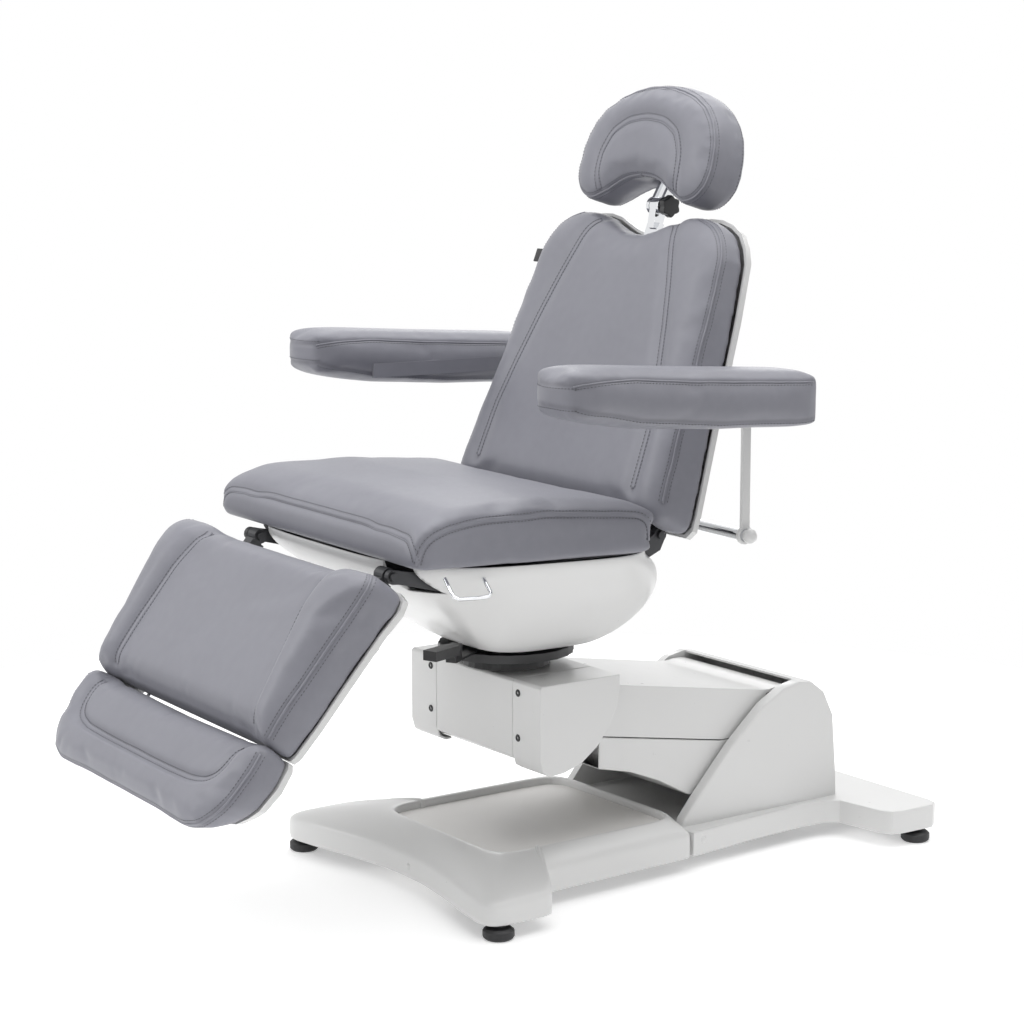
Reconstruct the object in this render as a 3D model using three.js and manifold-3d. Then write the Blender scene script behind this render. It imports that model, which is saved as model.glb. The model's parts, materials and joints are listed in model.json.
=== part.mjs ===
// Electric facial treatment bed: a four-foot base, a parallel lift arm, a swivelling seat with
// tilt, a reclining back with level-keeping armrests, a jointed headrest and a leg rest with a
// sliding foot section.  Millimetres, +Z up.  The sitter faces -Y and the sitter's left is +X.
import * as THREE from 'three';
import { mergeVertices } from 'three/addons/utils/BufferGeometryUtils.js';
import Module from 'manifold-3d';

const wasm = await Module();
wasm.setup();

// ---------------------------------------------------------------- driving dimensions
const DEG = Math.PI / 180;
const FIT_GAP = 0.3;                      // clearance between pieces that touch
const SHELL = 4;                          // wall of the moulded covers
const BASE_YAW = 3 * DEG;                 // the base stands this far off the seat's line at rest

const FOOT = { x: 288, front: -221, rear: 671, radius: 25, height: 22 };
const BASE = { underside: 24, edge: 64, rim: 84, seam: 240, frameLow: 26, frameHigh: 54 };
const TRAY = { halfWidth: 166, front: -132, rear: 228, floor: 72, thickness: 3 };
const HUMP = { halfWidth: 165, slotHalf: 146, wall: 6, slotRear: 508 };
const ARM = {
  halfWidth: 140, rear: [480, 175], front: [20, 285], axle: 14, plateIn: 108, plateOut: 118,
};
const LINK = { drop: 55, radius: 11, pin: 8 };
const HEAD = { halfWidth: 185, panelHalf: 109, front: -66, rear: 95, top: 353.5, low: 204 };
const SWIVEL = { columnRadius: 74, plateRadius: 113, plateLow: 374, plateHigh: 388 };

const TILT_PIVOT = [120, 470];            // y, z of the seat tilt hinge
const BACK_PIVOT = [150, 585];            // y, z of the recline hinge
const BACK_ANGLE = 68.8 * DEG;            // front of the back above the horizontal
const LEG_PIVOT = [-350, 568];            // y, z of the knee hinge
const LEG_ANGLE = 50.8 * DEG;             // leg rest below the horizontal

const SEAT = { halfWidth: 328, top: 663, front: -372, edgeFront: 587, edgeRear: 573 };
const BACK = { height: 520, dip: 488, front: 78, shellDepth: 48, rim: 13 };
const LEG = { start: 25, slit: 318, end: 489, line: 14.6, rim: 12, belly: 34 };
const ARMREST = { inner: 335, outer: 445, front: -180, rear: 297, hub: [243, 812] };
const CROSS_BAR = { radius: 10, z: 590, halfLength: 336 };
const HEADREST = { tilt: 15 * DEG, face: [262, 1150], thickness: 74 };
const POST = { depth: 36, width: 34, thickness: 10, travel: 90 };
const KNOB = { t: 400, radius: 16 };
const KNUCKLE = { lower: [305, 1098], upper: [354, 1184] };

// ---------------------------------------------------------------- finishes
const finish = {
  leather: { color: 0x8b8b96, roughness: 0.55, metalness: 0 },
  white: { color: 0xf2f2f1, roughness: 0.3, metalness: 0 },
  tray: { color: 0xcfcac4, roughness: 0.6, metalness: 0 },
  rubber: { color: 0x17171a, roughness: 0.8, metalness: 0 },
  black: { color: 0x1c1c1f, roughness: 0.45, metalness: 0 },
  steel: { color: 0x54575c, roughness: 0.5, metalness: 0.8 },
  chrome: { color: 0xd6d8dc, roughness: 0.12, metalness: 1 },
};

const bed = new THREE.Group();
const lower = new THREE.Group();
lower.rotation.z = BASE_YAW;
bed.add(lower);

function add(parent, name, geometry, look) {
  const mesh = new THREE.Mesh(geometry, new THREE.MeshStandardMaterial(finish[look]));
  mesh.name = name;
  parent.add(mesh);
  return mesh;
}

// ---------------------------------------------------------------- solid helpers
function toManifold(geometry) {
  const bare = geometry.index ? geometry.toNonIndexed() : geometry.clone();
  bare.deleteAttribute('normal');
  bare.deleteAttribute('uv');
  const merged = mergeVertices(bare, 1e-4);
  return new wasm.Manifold(new wasm.Mesh({
    numProp: 3,
    vertProperties: new Float32Array(merged.attributes.position.array),
    triVerts: new Uint32Array(merged.index.array),
  }));
}

function toGeometry(manifold) {
  const mesh = manifold.getMesh();
  const geometry = new THREE.BufferGeometry();
  geometry.setAttribute('position', new THREE.BufferAttribute(new Float32Array(mesh.vertProperties), 3));
  geometry.setIndex(new THREE.BufferAttribute(new Uint32Array(mesh.triVerts), 1));
  return geometry;
}

function join(...pieces) {
  return toGeometry(pieces.map(toManifold).reduce((whole, piece) => whole.add(piece)));
}

function cut(body, ...tools) {
  return toGeometry(tools.map(toManifold).reduce((left, tool) => left.subtract(tool), toManifold(body)));
}

function keep(body, tool) {
  return toGeometry(toManifold(body).intersect(toManifold(tool)));
}

// A box from its low corner to its high corner.
function box(x0, x1, y0, y1, z0, z1) {
  const geometry = new THREE.BoxGeometry(x1 - x0, y1 - y0, z1 - z0);
  return geometry.translate((x0 + x1) / 2, (y0 + y1) / 2, (z0 + z1) / 2);
}

// A round bar between two points.
function rod(from, to, radius, segments = 14) {
  const a = new THREE.Vector3(...from);
  const b = new THREE.Vector3(...to);
  const axis = b.clone().sub(a);
  const geometry = new THREE.CylinderGeometry(radius, radius, axis.length(), segments);
  const turn = new THREE.Quaternion().setFromUnitVectors(new THREE.Vector3(0, 1, 0), axis.normalize());
  return geometry.applyQuaternion(turn).translate(...a.add(b).multiplyScalar(0.5).toArray());
}

// A flat or square bar between two points in a plane of constant height.
function levelBar(from, to, width, z0, z1) {
  const dx = to[0] - from[0];
  const dy = to[1] - from[1];
  const geometry = new THREE.BoxGeometry(Math.hypot(dx, dy), width, z1 - z0);
  geometry.rotateZ(Math.atan2(dy, dx));
  return geometry.translate((from[0] + to[0]) / 2, (from[1] + to[1]) / 2, (z0 + z1) / 2);
}

// A side profile of [y, z] points carried across the bed from x0 to x1, with bevelled ends.
function across(profile, x0, x1, bevel = 0) {
  const shape = new THREE.Shape(profile.map(([y, z]) => new THREE.Vector2(y, z)));
  const geometry = new THREE.ExtrudeGeometry(shape, {
    depth: x1 - x0 - 2 * bevel,
    bevelEnabled: bevel > 0,
    bevelThickness: bevel,
    bevelSize: bevel,
    bevelOffset: -bevel,
    bevelSegments: 2,
    steps: 1,
  });
  const basis = new THREE.Matrix4().makeBasis(
    new THREE.Vector3(0, 1, 0), new THREE.Vector3(0, 0, 1), new THREE.Vector3(1, 0, 0));
  return geometry.applyMatrix4(basis).translate(x0 + bevel, 0, 0);
}

// A plan outline of [x, y] points raised from z0 to z1.
function raised(outline, z0, z1, bevel = 0) {
  const shape = new THREE.Shape(outline.map(([x, y]) => new THREE.Vector2(x, y)));
  const geometry = new THREE.ExtrudeGeometry(shape, {
    depth: z1 - z0 - 2 * bevel,
    bevelEnabled: bevel > 0,
    bevelThickness: bevel,
    bevelSize: bevel,
    bevelOffset: -bevel,
    bevelSegments: 2,
    steps: 1,
  });
  return geometry.translate(0, 0, z0 + bevel);
}

// A closed skin over rings of [x, y, z] points, all with the same count, with flat end caps.
function loft(rings) {
  const count = rings[0].length;
  const points = rings.flat();
  const faces = [];
  rings.slice(1).forEach((_, level) => {
    for (let k = 0; k < count; k += 1) {
      const a = level * count + k;
      const b = level * count + ((k + 1) % count);
      faces.push(a, b, b + count, a, b + count, a + count);
    }
  });
  const middle = (ring) => [0, 1, 2].map((i) => ring.reduce((sum, p) => sum + p[i], 0) / count);
  const last = (rings.length - 1) * count;
  const capStart = points.push(middle(rings[0])) - 1;
  const capEnd = points.push(middle(rings[rings.length - 1])) - 1;
  for (let k = 0; k < count; k += 1) {
    const next = (k + 1) % count;
    faces.push(capStart, next, k, capEnd, last + k, last + next);
  }
  const geometry = new THREE.BufferGeometry();
  geometry.setAttribute('position', new THREE.Float32BufferAttribute(points.flat(), 3));
  geometry.setIndex(faces);
  return volume(geometry) < 0 ? flipped(geometry, faces) : geometry;
}

function volume(geometry) {
  const position = geometry.attributes.position;
  const index = geometry.index.array;
  const corner = [0, 1, 2].map(() => new THREE.Vector3());
  let total = 0;
  for (let k = 0; k < index.length; k += 3) {
    corner.forEach((point, i) => point.fromBufferAttribute(position, index[k + i]));
    total += corner[0].dot(corner[1].clone().cross(corner[2])) / 6;
  }
  return total;
}

function flipped(geometry, faces) {
  const turned = [];
  for (let k = 0; k < faces.length; k += 3) turned.push(faces[k], faces[k + 2], faces[k + 1]);
  return geometry.setIndex(turned);
}

// Points of a smooth curve through a half outline, mirrored to the other side.
function mirrored(half) {
  const other = half.filter(([x]) => x > 0).map(([x, y]) => [-x, y]).reverse();
  return [...half, ...other];
}

function smooth(points, count, tension = 0.5) {
  const curve = new THREE.CatmullRomCurve3(
    points.map(([x, y]) => new THREE.Vector3(x, y, 0)), false, 'catmullrom', tension);
  return curve.getPoints(count).map((p) => [p.x, p.y]);
}

// Moves every point of an outline towards its inside by a distance, along the corner bisectors.
function inset(outline, distance) {
  const area = outline.reduce((sum, [x, y], i) => {
    const [nx, ny] = outline[(i + 1) % outline.length];
    return sum + x * ny - nx * y;
  }, 0);
  const side = Math.sign(area);
  return outline.map(([x, y], i) => {
    const [px, py] = outline[(i + outline.length - 1) % outline.length];
    const [nx, ny] = outline[(i + 1) % outline.length];
    const length = Math.hypot(nx - px, ny - py);
    return [x - side * distance * (ny - py) / length, y + side * distance * (nx - px) / length];
  });
}

// Shrinks an outline towards its middle by a distance on each side.
function shrunk(outline, distance) {
  const ys = outline.map(([, y]) => y);
  const xs = outline.map(([x]) => x);
  const middle = (Math.min(...ys) + Math.max(...ys)) / 2;
  const scaleX = 1 - distance / Math.max(...xs);
  const scaleY = 1 - distance / (Math.max(...ys) - middle);
  return outline.map(([x, y]) => [x * scaleX, middle + (y - middle) * scaleY]);
}

// ---------------------------------------------------------------- local frames
// Along the back: t runs up from the recline hinge, s towards the sitter.
function backPoint(t, s) {
  const cos = Math.cos(BACK_ANGLE);
  const sin = Math.sin(BACK_ANGLE);
  return [BACK_PIVOT[0] + t * cos - s * sin, BACK_PIVOT[1] + t * sin + s * cos];
}

// Along the leg rest: t runs down from the knee hinge, s towards the sitter's legs.
function legPoint(t, s) {
  const cos = Math.cos(LEG_ANGLE);
  const sin = Math.sin(LEG_ANGLE);
  return [LEG_PIVOT[0] - t * cos - s * sin, LEG_PIVOT[1] - t * sin + s * cos];
}

// Boxes square to the back and to the leg rest.
function inBack(x0, x1, t0, t1, s0, s1) {
  const bar = new THREE.BoxGeometry(x1 - x0, s1 - s0, t1 - t0);
  bar.rotateX(BACK_ANGLE - Math.PI / 2);
  return bar.translate((x0 + x1) / 2, ...backPoint((t0 + t1) / 2, (s0 + s1) / 2));
}

function inLeg(x0, x1, t0, t1, s0, s1) {
  const bar = new THREE.BoxGeometry(x1 - x0, t1 - t0, s1 - s0);
  bar.rotateX(LEG_ANGLE);
  return bar.translate((x0 + x1) / 2, ...legPoint((t0 + t1) / 2, (s0 + s1) / 2));
}

const onBack = (x, t, s) => [x, ...backPoint(t, s)];
const onLeg = (x, t, s) => [x, ...legPoint(t, s)];

// ---------------------------------------------------------------- base
// Steel chassis: two long rails, splayed front stubs, a rear cross rail and two pivot towers.
function chassis(grow, low, high) {
  const width = 40 + 2 * grow;
  const rail = 150;
  const bars = [-1, 1].flatMap((side) => [
    levelBar([side * rail, -200 - grow], [side * rail, 691 + grow], width, low, high),
    levelBar([side * (rail - grow), -190], [side * (FOOT.x + 12 + grow), FOOT.front - 2], width, low, high),
  ]);
  const reach = FOOT.x + 12 + grow;
  bars.push(levelBar([-reach, FOOT.rear - 4], [reach, FOOT.rear - 4], width, low, high));
  bars.push(levelBar([-rail, 300], [rail, 300], width, low, high));
  bars.push(levelBar([-rail, 500], [rail, 500], width, low, high));
  return join(...bars);
}

const towers = [-1, 1].map((side) => box(
  side > 0 ? 149 : -155, side > 0 ? 155 : -149, 440, 520, BASE.frameHigh - 2, ARM.rear[1] + 32));
const linkLugs = [-1, 1].map((side) => box(
  side > 0 ? 16 : -24, side > 0 ? 24 : -16, 462, 498, BASE.frameHigh - 2, ARM.rear[1] - LINK.drop + 18));
// A bore's flats lie nearer its axis than its corners, so it is widened until they clear the axle.
const axleBore = (ARM.axle + FIT_GAP) / Math.cos(Math.PI / 14);
const liftAxle = rod([-156, ...ARM.rear], [156, ...ARM.rear], ARM.axle);
const liftBore = rod([-170, ...ARM.rear], [170, ...ARM.rear], axleBore);
const linkBase = [ARM.rear[0], ARM.rear[1] - LINK.drop];
const linkBore = rod([-30, ...linkBase], [30, ...linkBase], LINK.pin + FIT_GAP, 16);
const baseFrame = cut(
  join(chassis(0, BASE.frameLow, BASE.frameHigh), ...towers, ...linkLugs), liftBore, linkBore);
add(lower, 'base_frame', baseFrame, 'steel');
add(lower, 'lift_axle', liftAxle, 'steel');

[['left', 1], ['right', -1]].forEach(([sideName, side]) => {
  [['front', FOOT.front], ['rear', FOOT.rear]].forEach(([endName, y]) => {
    const profile = [[0, 0], [21, 0], [FOOT.radius, 4], [FOOT.radius, 14], [20, 18], [10, 19],
      [10, BASE.frameLow - FIT_GAP], [0, BASE.frameLow - FIT_GAP]];
    const foot = new THREE.LatheGeometry(profile.map(([r, z]) => new THREE.Vector2(r, z)), 18);
    foot.rotateX(Math.PI / 2).translate(side * FOOT.x, y, 0);
    add(lower, `foot_${endName}_${sideName}`, foot, 'rubber');
  });
});

// Plan of the covers: concave front edge between two toes, waist, and two rear toes.
const frontHalf = [
  ...smooth([[0, -209], [60, -211], [140, -224], [226, -243], [276, -251]], 6),
  [299, -246], [309, -230], [309, -140], [300, -124], [248, -112], [222, -92], [214, -60],
  [207, 120], [202, BASE.seam - 0.5],
];
const rearHalf = [
  [202, BASE.seam + 0.5], [186, 380], [178, 500], [181, 552], [196, 578], [240, 584], [284, 590],
  [302, 602], [309, 622], [311, 690], [300, 706], [282, 711],
];
const plan = (half, closing) => [...half, ...closing, ...half.map(([x, y]) => [-x, y]).reverse()];
const frontPlan = plan(frontHalf.slice(1), []);
frontPlan.push([0, -209]);
const rearPlan = plan(rearHalf, []);

const trayHole = raised([
  [-TRAY.halfWidth + 26, TRAY.front], [TRAY.halfWidth - 26, TRAY.front],
  [TRAY.halfWidth, TRAY.front + 26], [TRAY.halfWidth, TRAY.rear], [-TRAY.halfWidth, TRAY.rear],
  [-TRAY.halfWidth, TRAY.front + 26],
], TRAY.floor, 120);
const crown = raised([
  [-140, -172], [140, -172], [184, -128], [196, -60], [188, BASE.seam - 0.5], [-188, BASE.seam - 0.5],
  [-196, -60], [-184, -128],
], BASE.edge - 6, BASE.rim, 6);
const hollowUnder = chassis(3, 0, BASE.frameHigh + 2);
const frontCover = cut(
  join(raised(frontPlan, BASE.underside, BASE.edge + 2, 4), crown),
  trayHole, hollowUnder, box(-128, 128, -160, BASE.seam + 1, 0, BASE.frameHigh + 2));
add(lower, 'base_front_cover', frontCover, 'white');
const trayPlan = inset([
  [-TRAY.halfWidth + 26, TRAY.front], [TRAY.halfWidth - 26, TRAY.front],
  [TRAY.halfWidth, TRAY.front + 26], [TRAY.halfWidth, TRAY.rear], [-TRAY.halfWidth, TRAY.rear],
  [-TRAY.halfWidth, TRAY.front + 26],
], 1);
add(lower, 'base_tray', raised(trayPlan, TRAY.floor + FIT_GAP, TRAY.floor + TRAY.thickness), 'tray');

// The rear cover rises into a hump that hides the lift pivot; a slot lets the arm swing.
const humpSide = [
  [BASE.seam + 4, 50], [250, 78], [279, 112], [357, 194], [425, 252], [470, 276], [506, 283],
  [536, 278], [566, 256], [588, 212], [598, 104], [600, 50],
];
const humpHollow = [
  [BASE.seam - 20, 0], [BASE.seam - 20, 400], [HUMP.slotRear, 400], [HUMP.slotRear, 279],
  [534, 273], [561, 251], [582, 210], [592, 104], [594, 0],
];
const rearCover = cut(
  join(
    raised(rearPlan, BASE.underside, BASE.edge + 2, 4),
    across(humpSide, -HUMP.halfWidth, HUMP.halfWidth, 6)),
  cut(across(humpHollow, -HUMP.slotHalf, HUMP.slotHalf),
    box(-200, 200, 200, 620, 0, BASE.edge)),
  box(-158, 158, 434, 526, 0, 216), hollowUnder, box(-128, 128, 280, 660, 0, BASE.frameHigh + 2));
add(lower, 'base_rear_cover', rearCover, 'white');

// ---------------------------------------------------------------- lift arm
// Two steel cheeks carry the seat; a plain link below them keeps the head level.
function cheek(side) {
  const ends = [ARM.rear, ARM.front].map(([y, z]) => {
    const x0 = side > 0 ? ARM.plateIn : -ARM.plateOut;
    return rod([x0, y, z], [x0 + ARM.plateOut - ARM.plateIn, y, z], 30, 16);
  });
  const dy = ARM.front[0] - ARM.rear[0];
  const dz = ARM.front[1] - ARM.rear[1];
  const beam = new THREE.BoxGeometry(ARM.plateOut - ARM.plateIn, Math.hypot(dy, dz), 44);
  beam.rotateX(Math.atan2(dz, dy));
  beam.translate(side * (ARM.plateIn + ARM.plateOut) / 2, ARM.rear[0] + dy / 2, ARM.rear[1] + dz / 2);
  return join(beam, ...ends);
}
const tieAt = [300, ARM.rear[1] + (ARM.front[1] - ARM.rear[1]) * (180 / 460) + 18];
const armTie = rod([-ARM.plateOut + 2, ...tieAt], [ARM.plateOut - 2, ...tieAt], 8);
const headBore = rod([-170, ...ARM.front], [170, ...ARM.front], axleBore);
add(lower, 'lift_arm_frame', cut(join(cheek(1), cheek(-1), armTie), liftBore, headBore), 'steel');

const tailArc = (radius, from, to, steps) => Array.from({ length: steps + 1 }, (_, k) => {
  const angle = (from + (to - from) * k / steps) * DEG;
  return [ARM.rear[0] + radius * Math.cos(angle), ARM.rear[1] + radius * Math.sin(angle)];
});
const upperOuter = [
  [104, 326.5], [440, 272], ...tailArc(98, 103, 42, 7), ...tailArc(93, 42, 108, 7),
  [445, 196], [352, 197], [93, 241],
];
const upperInner = [[60, 326.5], [104, 321.5], [440, 267], [446, 259], [452, 150], [60, 150]];
const armUpper = cut(
  across(upperOuter, -ARM.halfWidth, ARM.halfWidth, 0), across(upperInner, -135, 135));
add(lower, 'lift_arm_upper_cover', armUpper, 'white');
const lowerOuter = [[88, 240], [350, 195.5], [438, 194], [438, 112], [330, 104], [279, 112],
  [216, 146], [153, 171], [88, 186]];
const lowerInner = [[60, 260], [460, 260], [460, 118], [330, 109], [282, 116], [218, 151],
  [154, 176], [60, 196]];
add(lower, 'lift_arm_lower_cover', cut(
  across(lowerOuter, -ARM.halfWidth, ARM.halfWidth, 0), across(lowerInner, -135, 135)), 'white');

// Electric cylinder between the cheeks.
function actuator(from, to, tube, ram, motor) {
  const a = new THREE.Vector3(...from);
  const b = new THREE.Vector3(...to);
  const at = (f) => a.clone().lerp(b, f).toArray();
  const up = new THREE.Vector3(0, 0, 1);
  const low = at(0.1);
  const body = up.clone().multiplyScalar(motor).add(new THREE.Vector3(...low)).toArray();
  return join(rod(from, at(0.62), tube, 16), rod(at(0.6), to, ram, 12), rod(low, body, tube, 16));
}
add(lower, 'lift_actuator', actuator([62, 418, 176], [62, 110, 250], 17, 9, 46), 'black');

const linkHead = [ARM.front[0], ARM.front[1] - LINK.drop];
const linkEyes = [linkBase, linkHead].map(([y, z]) => rod([-12, y, z], [12, y, z], 17, 14));
const levelLink = cut(
  join(rod([0, ...linkBase], [0, ...linkHead], LINK.radius, 14), ...linkEyes),
  linkBore, rod([-30, ...linkHead], [30, ...linkHead], LINK.pin + FIT_GAP, 16));
add(lower, 'level_link', levelLink, 'steel');

// ---------------------------------------------------------------- head of the lift
const headAxle = rod([-132, ...ARM.front], [132, ...ARM.front], ARM.axle);
const headPlate = box(-176, 176, -58, 88, 336, 346);
const headWalls = [-1, 1].flatMap((side) => [
  box(side > 0 ? 84 : -94, side > 0 ? 94 : -84, -50, 60, 240, 337),
  box(side > 0 ? 16 : -24, side > 0 ? 24 : -16, -4, 44, 212, 337),
]);
const headFrame = cut(
  join(headPlate, ...headWalls, box(-94, 94, -56, -46, 240, 337)),
  headBore, rod([-30, ...linkHead], [30, ...linkHead], LINK.pin + FIT_GAP, 16));
add(lower, 'head_frame', headFrame, 'steel');
add(lower, 'head_axle', headAxle, 'steel');

const headSide = [
  [HEAD.front, 232], [HEAD.front, HEAD.top - 4], [HEAD.front + 4, HEAD.top], [HEAD.rear, HEAD.top],
  [HEAD.rear, 336], [89, 300], [72, 268], [50, 240], [18, 217], [-18, 206], [-46, HEAD.low],
  [-60, 212],
];
const headInside = [
  [HEAD.front + SHELL, 234], [HEAD.front + SHELL, HEAD.top - SHELL], [HEAD.rear + 10, HEAD.top - SHELL],
  [HEAD.rear + 10, 336], [85, 300], [68, 270], [46, 243], [16, 221], [-18, 210], [-45, 208], [-57, 215],
];
[['left', 1], ['right', -1]].forEach(([sideName, side]) => {
  const span = (a, b) => (side > 0 ? [a, b] : [-b, -a]);
  const cover = cut(
    across(headSide, ...span(HEAD.panelHalf + 0.5, HEAD.halfWidth)),
    across(headInside, ...span(90, HEAD.halfWidth - SHELL)),
    box(...span(90, ARM.halfWidth + 3), -34, 130, 150, HEAD.top - SHELL));
  add(lower, `head_${sideName}_cover`, cover, 'white');
});
const panel = [
  [HEAD.front, 226], [HEAD.front, HEAD.top - 4], [HEAD.front + 4, HEAD.top], [HEAD.rear, HEAD.top],
  [HEAD.rear, HEAD.top - SHELL], [HEAD.front + SHELL, HEAD.top - SHELL], [HEAD.front + SHELL, 228],
  [-50, 222], [-36, 220], [-36, 216], [-52, 217],
];
add(lower, 'head_center_panel', across(panel, -HEAD.panelHalf, HEAD.panelHalf), 'white');

// ---------------------------------------------------------------- swivel
const columnLow = HEAD.top + FIT_GAP;
const columnHigh = SWIVEL.plateLow - FIT_GAP;
const column = new THREE.CylinderGeometry(
  SWIVEL.columnRadius - 3, SWIVEL.columnRadius, columnHigh - columnLow, 28);
add(bed, 'swivel_column',
  column.rotateX(Math.PI / 2).translate(0, 0, (columnLow + columnHigh) / 2), 'black');
const ribbed = Array.from({ length: 48 }, (_, k) => {
  const radius = SWIVEL.plateRadius - (k % 2 ? 2 : 0);
  const angle = k * 2 * Math.PI / 48;
  return [radius * Math.cos(angle), radius * Math.sin(angle)];
});
const plate = raised(ribbed, SWIVEL.plateLow, SWIVEL.plateHigh);
const turretRaise = SWIVEL.plateHigh - 1;
const turret = join(
  plate, box(-70, 70, -70, 76, turretRaise, 452),
  box(-82, -70.5, 70, 140, 440, 486), box(70.5, 82, 70, 140, 440, 486),
  box(-82, 82, 70, 80, 440, 452));
const tiltBore = rod([-120, ...TILT_PIVOT], [120, ...TILT_PIVOT], 8 + FIT_GAP, 14);
add(bed, 'seat_turret', cut(turret, tiltBore), 'black');

// The swivel lock is a flat steel arm pivoted on the plate, cranked up to a hand grip under the seat.
const leverHub = [40, -88];
const leverLow = SWIVEL.plateHigh + FIT_GAP;
const leverArmTop = leverLow + 4;
const gripTop = 416;
const lever = join(
  rod([...leverHub, leverLow], [...leverHub, leverArmTop], 11, 14),
  levelBar(leverHub, [84, -152], 18, leverLow, leverArmTop),
  levelBar([78, -143], [92, -163], 18, leverLow, gripTop),
  levelBar([86, -155], [108, -212], 26, gripTop - 16, gripTop));
add(bed, 'swivel_lock_lever', lever, 'black');

// ---------------------------------------------------------------- seat
// The seat's lower edge rises slightly towards the knees.
const edgeZ = (y) => SEAT.edgeRear + (SEAT.edgeFront - SEAT.edgeRear) * (124 - y) / 481;
const roundRing = (y0, y1, half, height, count = 28, power = 4.2) => (
  Array.from({ length: count }, (_, k) => {
    const angle = (k + 0.5) * 2 * Math.PI / count;
    const bulge = (value) => Math.sign(value) * Math.abs(value) ** (2 / power);
    const y = (y0 + y1) / 2 + bulge(Math.sin(angle)) * (y1 - y0) / 2;
    return [bulge(Math.cos(angle)) * half, y, height(y)];
  }));
const hull = [
  { z: edgeZ, span: [-352, 134], half: 322 }, { z: (y) => edgeZ(y) - 14, span: [-352, 134], half: 320 },
  { z: () => 545, span: [-330, 172], half: 296 }, { z: () => 500, span: [-262, 194], half: 262 },
  { z: () => 450, span: [-180, 186], half: 205 }, { z: () => 412, span: [-118, 152], half: 155 },
  { z: () => 394, span: [-92, 122], half: 120 },
];
const ringOf = ({ z, span, half }, inner) => roundRing(span[0] + inner, span[1] - inner, half - inner, z);
const hullSolid = loft(hull.map((level) => ringOf(level, 0)));
const hollowRings = hull.map((level) => ringOf(level, 5));
const shifted = (ring, dz) => ring.map(([x, y, z]) => [x, y, z + dz]);
const hullHollow = loft([
  shifted(hollowRings[0], 20), ...hollowRings, shifted(hollowRings[hollowRings.length - 1], -20),
]);
const hingeSlots = [-1, 1].map((side) => box(
  side > 0 ? 206 : -234, side > 0 ? 234 : -206, 96, 220, 534, 620));
const ventHole = box(-86, 86, 130, 240, 452, 506);
const kneeNotches = [-1, 1].map((side) => box(
  side > 0 ? 188 : -244, side > 0 ? 244 : -188, -380, -246, 536, 600));
const hookHoles = [-300, -235].map((y) => rod([290, y, 582], [318, y, 554], 4.5, 12));
add(bed, 'seat_shroud',
  cut(hullSolid, hullHollow, ...hingeSlots, ventHole, ...kneeNotches, ...hookHoles), 'white');
const vent = cut(
  box(-82, 82, 170, 178, 456, 502), box(-66, -12, 160, 190, 464, 494), box(12, 66, 160, 190, 464, 494));
add(bed, 'vent_panel', vent, 'black');

// Steel seat frame: a rectangle of tube, cross rails, hinge lugs for the back and the knee.
const frameRails = [
  box(-236, -212, -268, 108, 534, 562), box(212, 236, -268, 108, 534, 562),
  box(-236, 236, -268, -244, 534, 562), box(-236, 236, 60, 86, 534, 562),
  box(-213, 213, -120, -96, 534, 562),
];
const backLugs = [-1, 1].map((side) => {
  const x0 = side > 0 ? 212 : -224;
  const eye = rod([x0, ...BACK_PIVOT], [x0 + 12, ...BACK_PIVOT], 12, 16);
  return join(eye, across([[100, 538], [150, 560], [161, 582], [139, 588], [100, 562]], x0, x0 + 12));
});
const kneeLugs = [-1, 1].map((side) => {
  const x0 = side > 0 ? 226 : -236;
  const eye = rod([x0, ...LEG_PIVOT], [x0 + 10, ...LEG_PIVOT], 11, 16);
  return join(eye, across([[-262, 536], [-340, 556], [-352, 557], [-352, 579], [-262, 561]], x0, x0 + 10));
});
const tiltHangers = [-1, 1].map((side) => join(
  box(side > 0 ? 84 : -94, side > 0 ? 94 : -84, 100, 138, 458, 540),
  box(side > 0 ? 84 : -94, side > 0 ? 94 : -84, 60, 138, 526, 540)));
const backBore = rod([-260, ...BACK_PIVOT], [260, ...BACK_PIVOT], 7 + FIT_GAP, 14);
const kneeBore = rod([-260, ...LEG_PIVOT], [260, ...LEG_PIVOT], 7 + FIT_GAP, 14);
const seatFrame = cut(join(
  ...frameRails, ...backLugs, ...kneeLugs, ...tiltHangers, box(-94, 94, 61, 85, 535, 561)),
backBore, kneeBore, tiltBore);
add(bed, 'seat_frame', seatFrame, 'steel');
add(bed, 'tilt_actuator', actuator([0, 20, 470], [0, -200, 512], 17, 9, 40), 'black');
add(bed, 'back_actuator', actuator([120, -180, 500], [120, 150, 520], 15, 8, 36), 'black');
add(bed, 'leg_actuator', actuator([-120, 10, 494], [-120, -232, 512], 15, 8, 36), 'black');

// Bent wire hook under the left edge of the seat.
const hookLine = new THREE.CatmullRomCurve3([
  [300, -300, 572], [312, -300, 560], [328, -299, 546], [330, -280, 544], [330, -254, 543],
  [328, -236, 545], [312, -235, 559], [300, -235, 571],
].map((p) => new THREE.Vector3(...p)), false, 'catmullrom', 0.3);
const wire = Array.from({ length: 8 }, (_, k) => new THREE.Vector2(
  3 * Math.cos(k * Math.PI / 4), 3 * Math.sin(k * Math.PI / 4)));
const hookShape = new THREE.Shape(wire);
const hook = new THREE.ExtrudeGeometry(hookShape, { steps: 16, extrudePath: hookLine });
add(bed, 'wire_hook', hook, 'chrome');

const seatProfile = [
  [-357, 589.5], [-372, 604], [-371, 631], [-348, 650], [-293, SEAT.top], [-139, SEAT.top], [30, 648],
  [84, 643], [62, 578],
];
add(bed, 'seat_cushion', across(seatProfile, -SEAT.halfWidth, SEAT.halfWidth, 7), 'leather');

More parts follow.
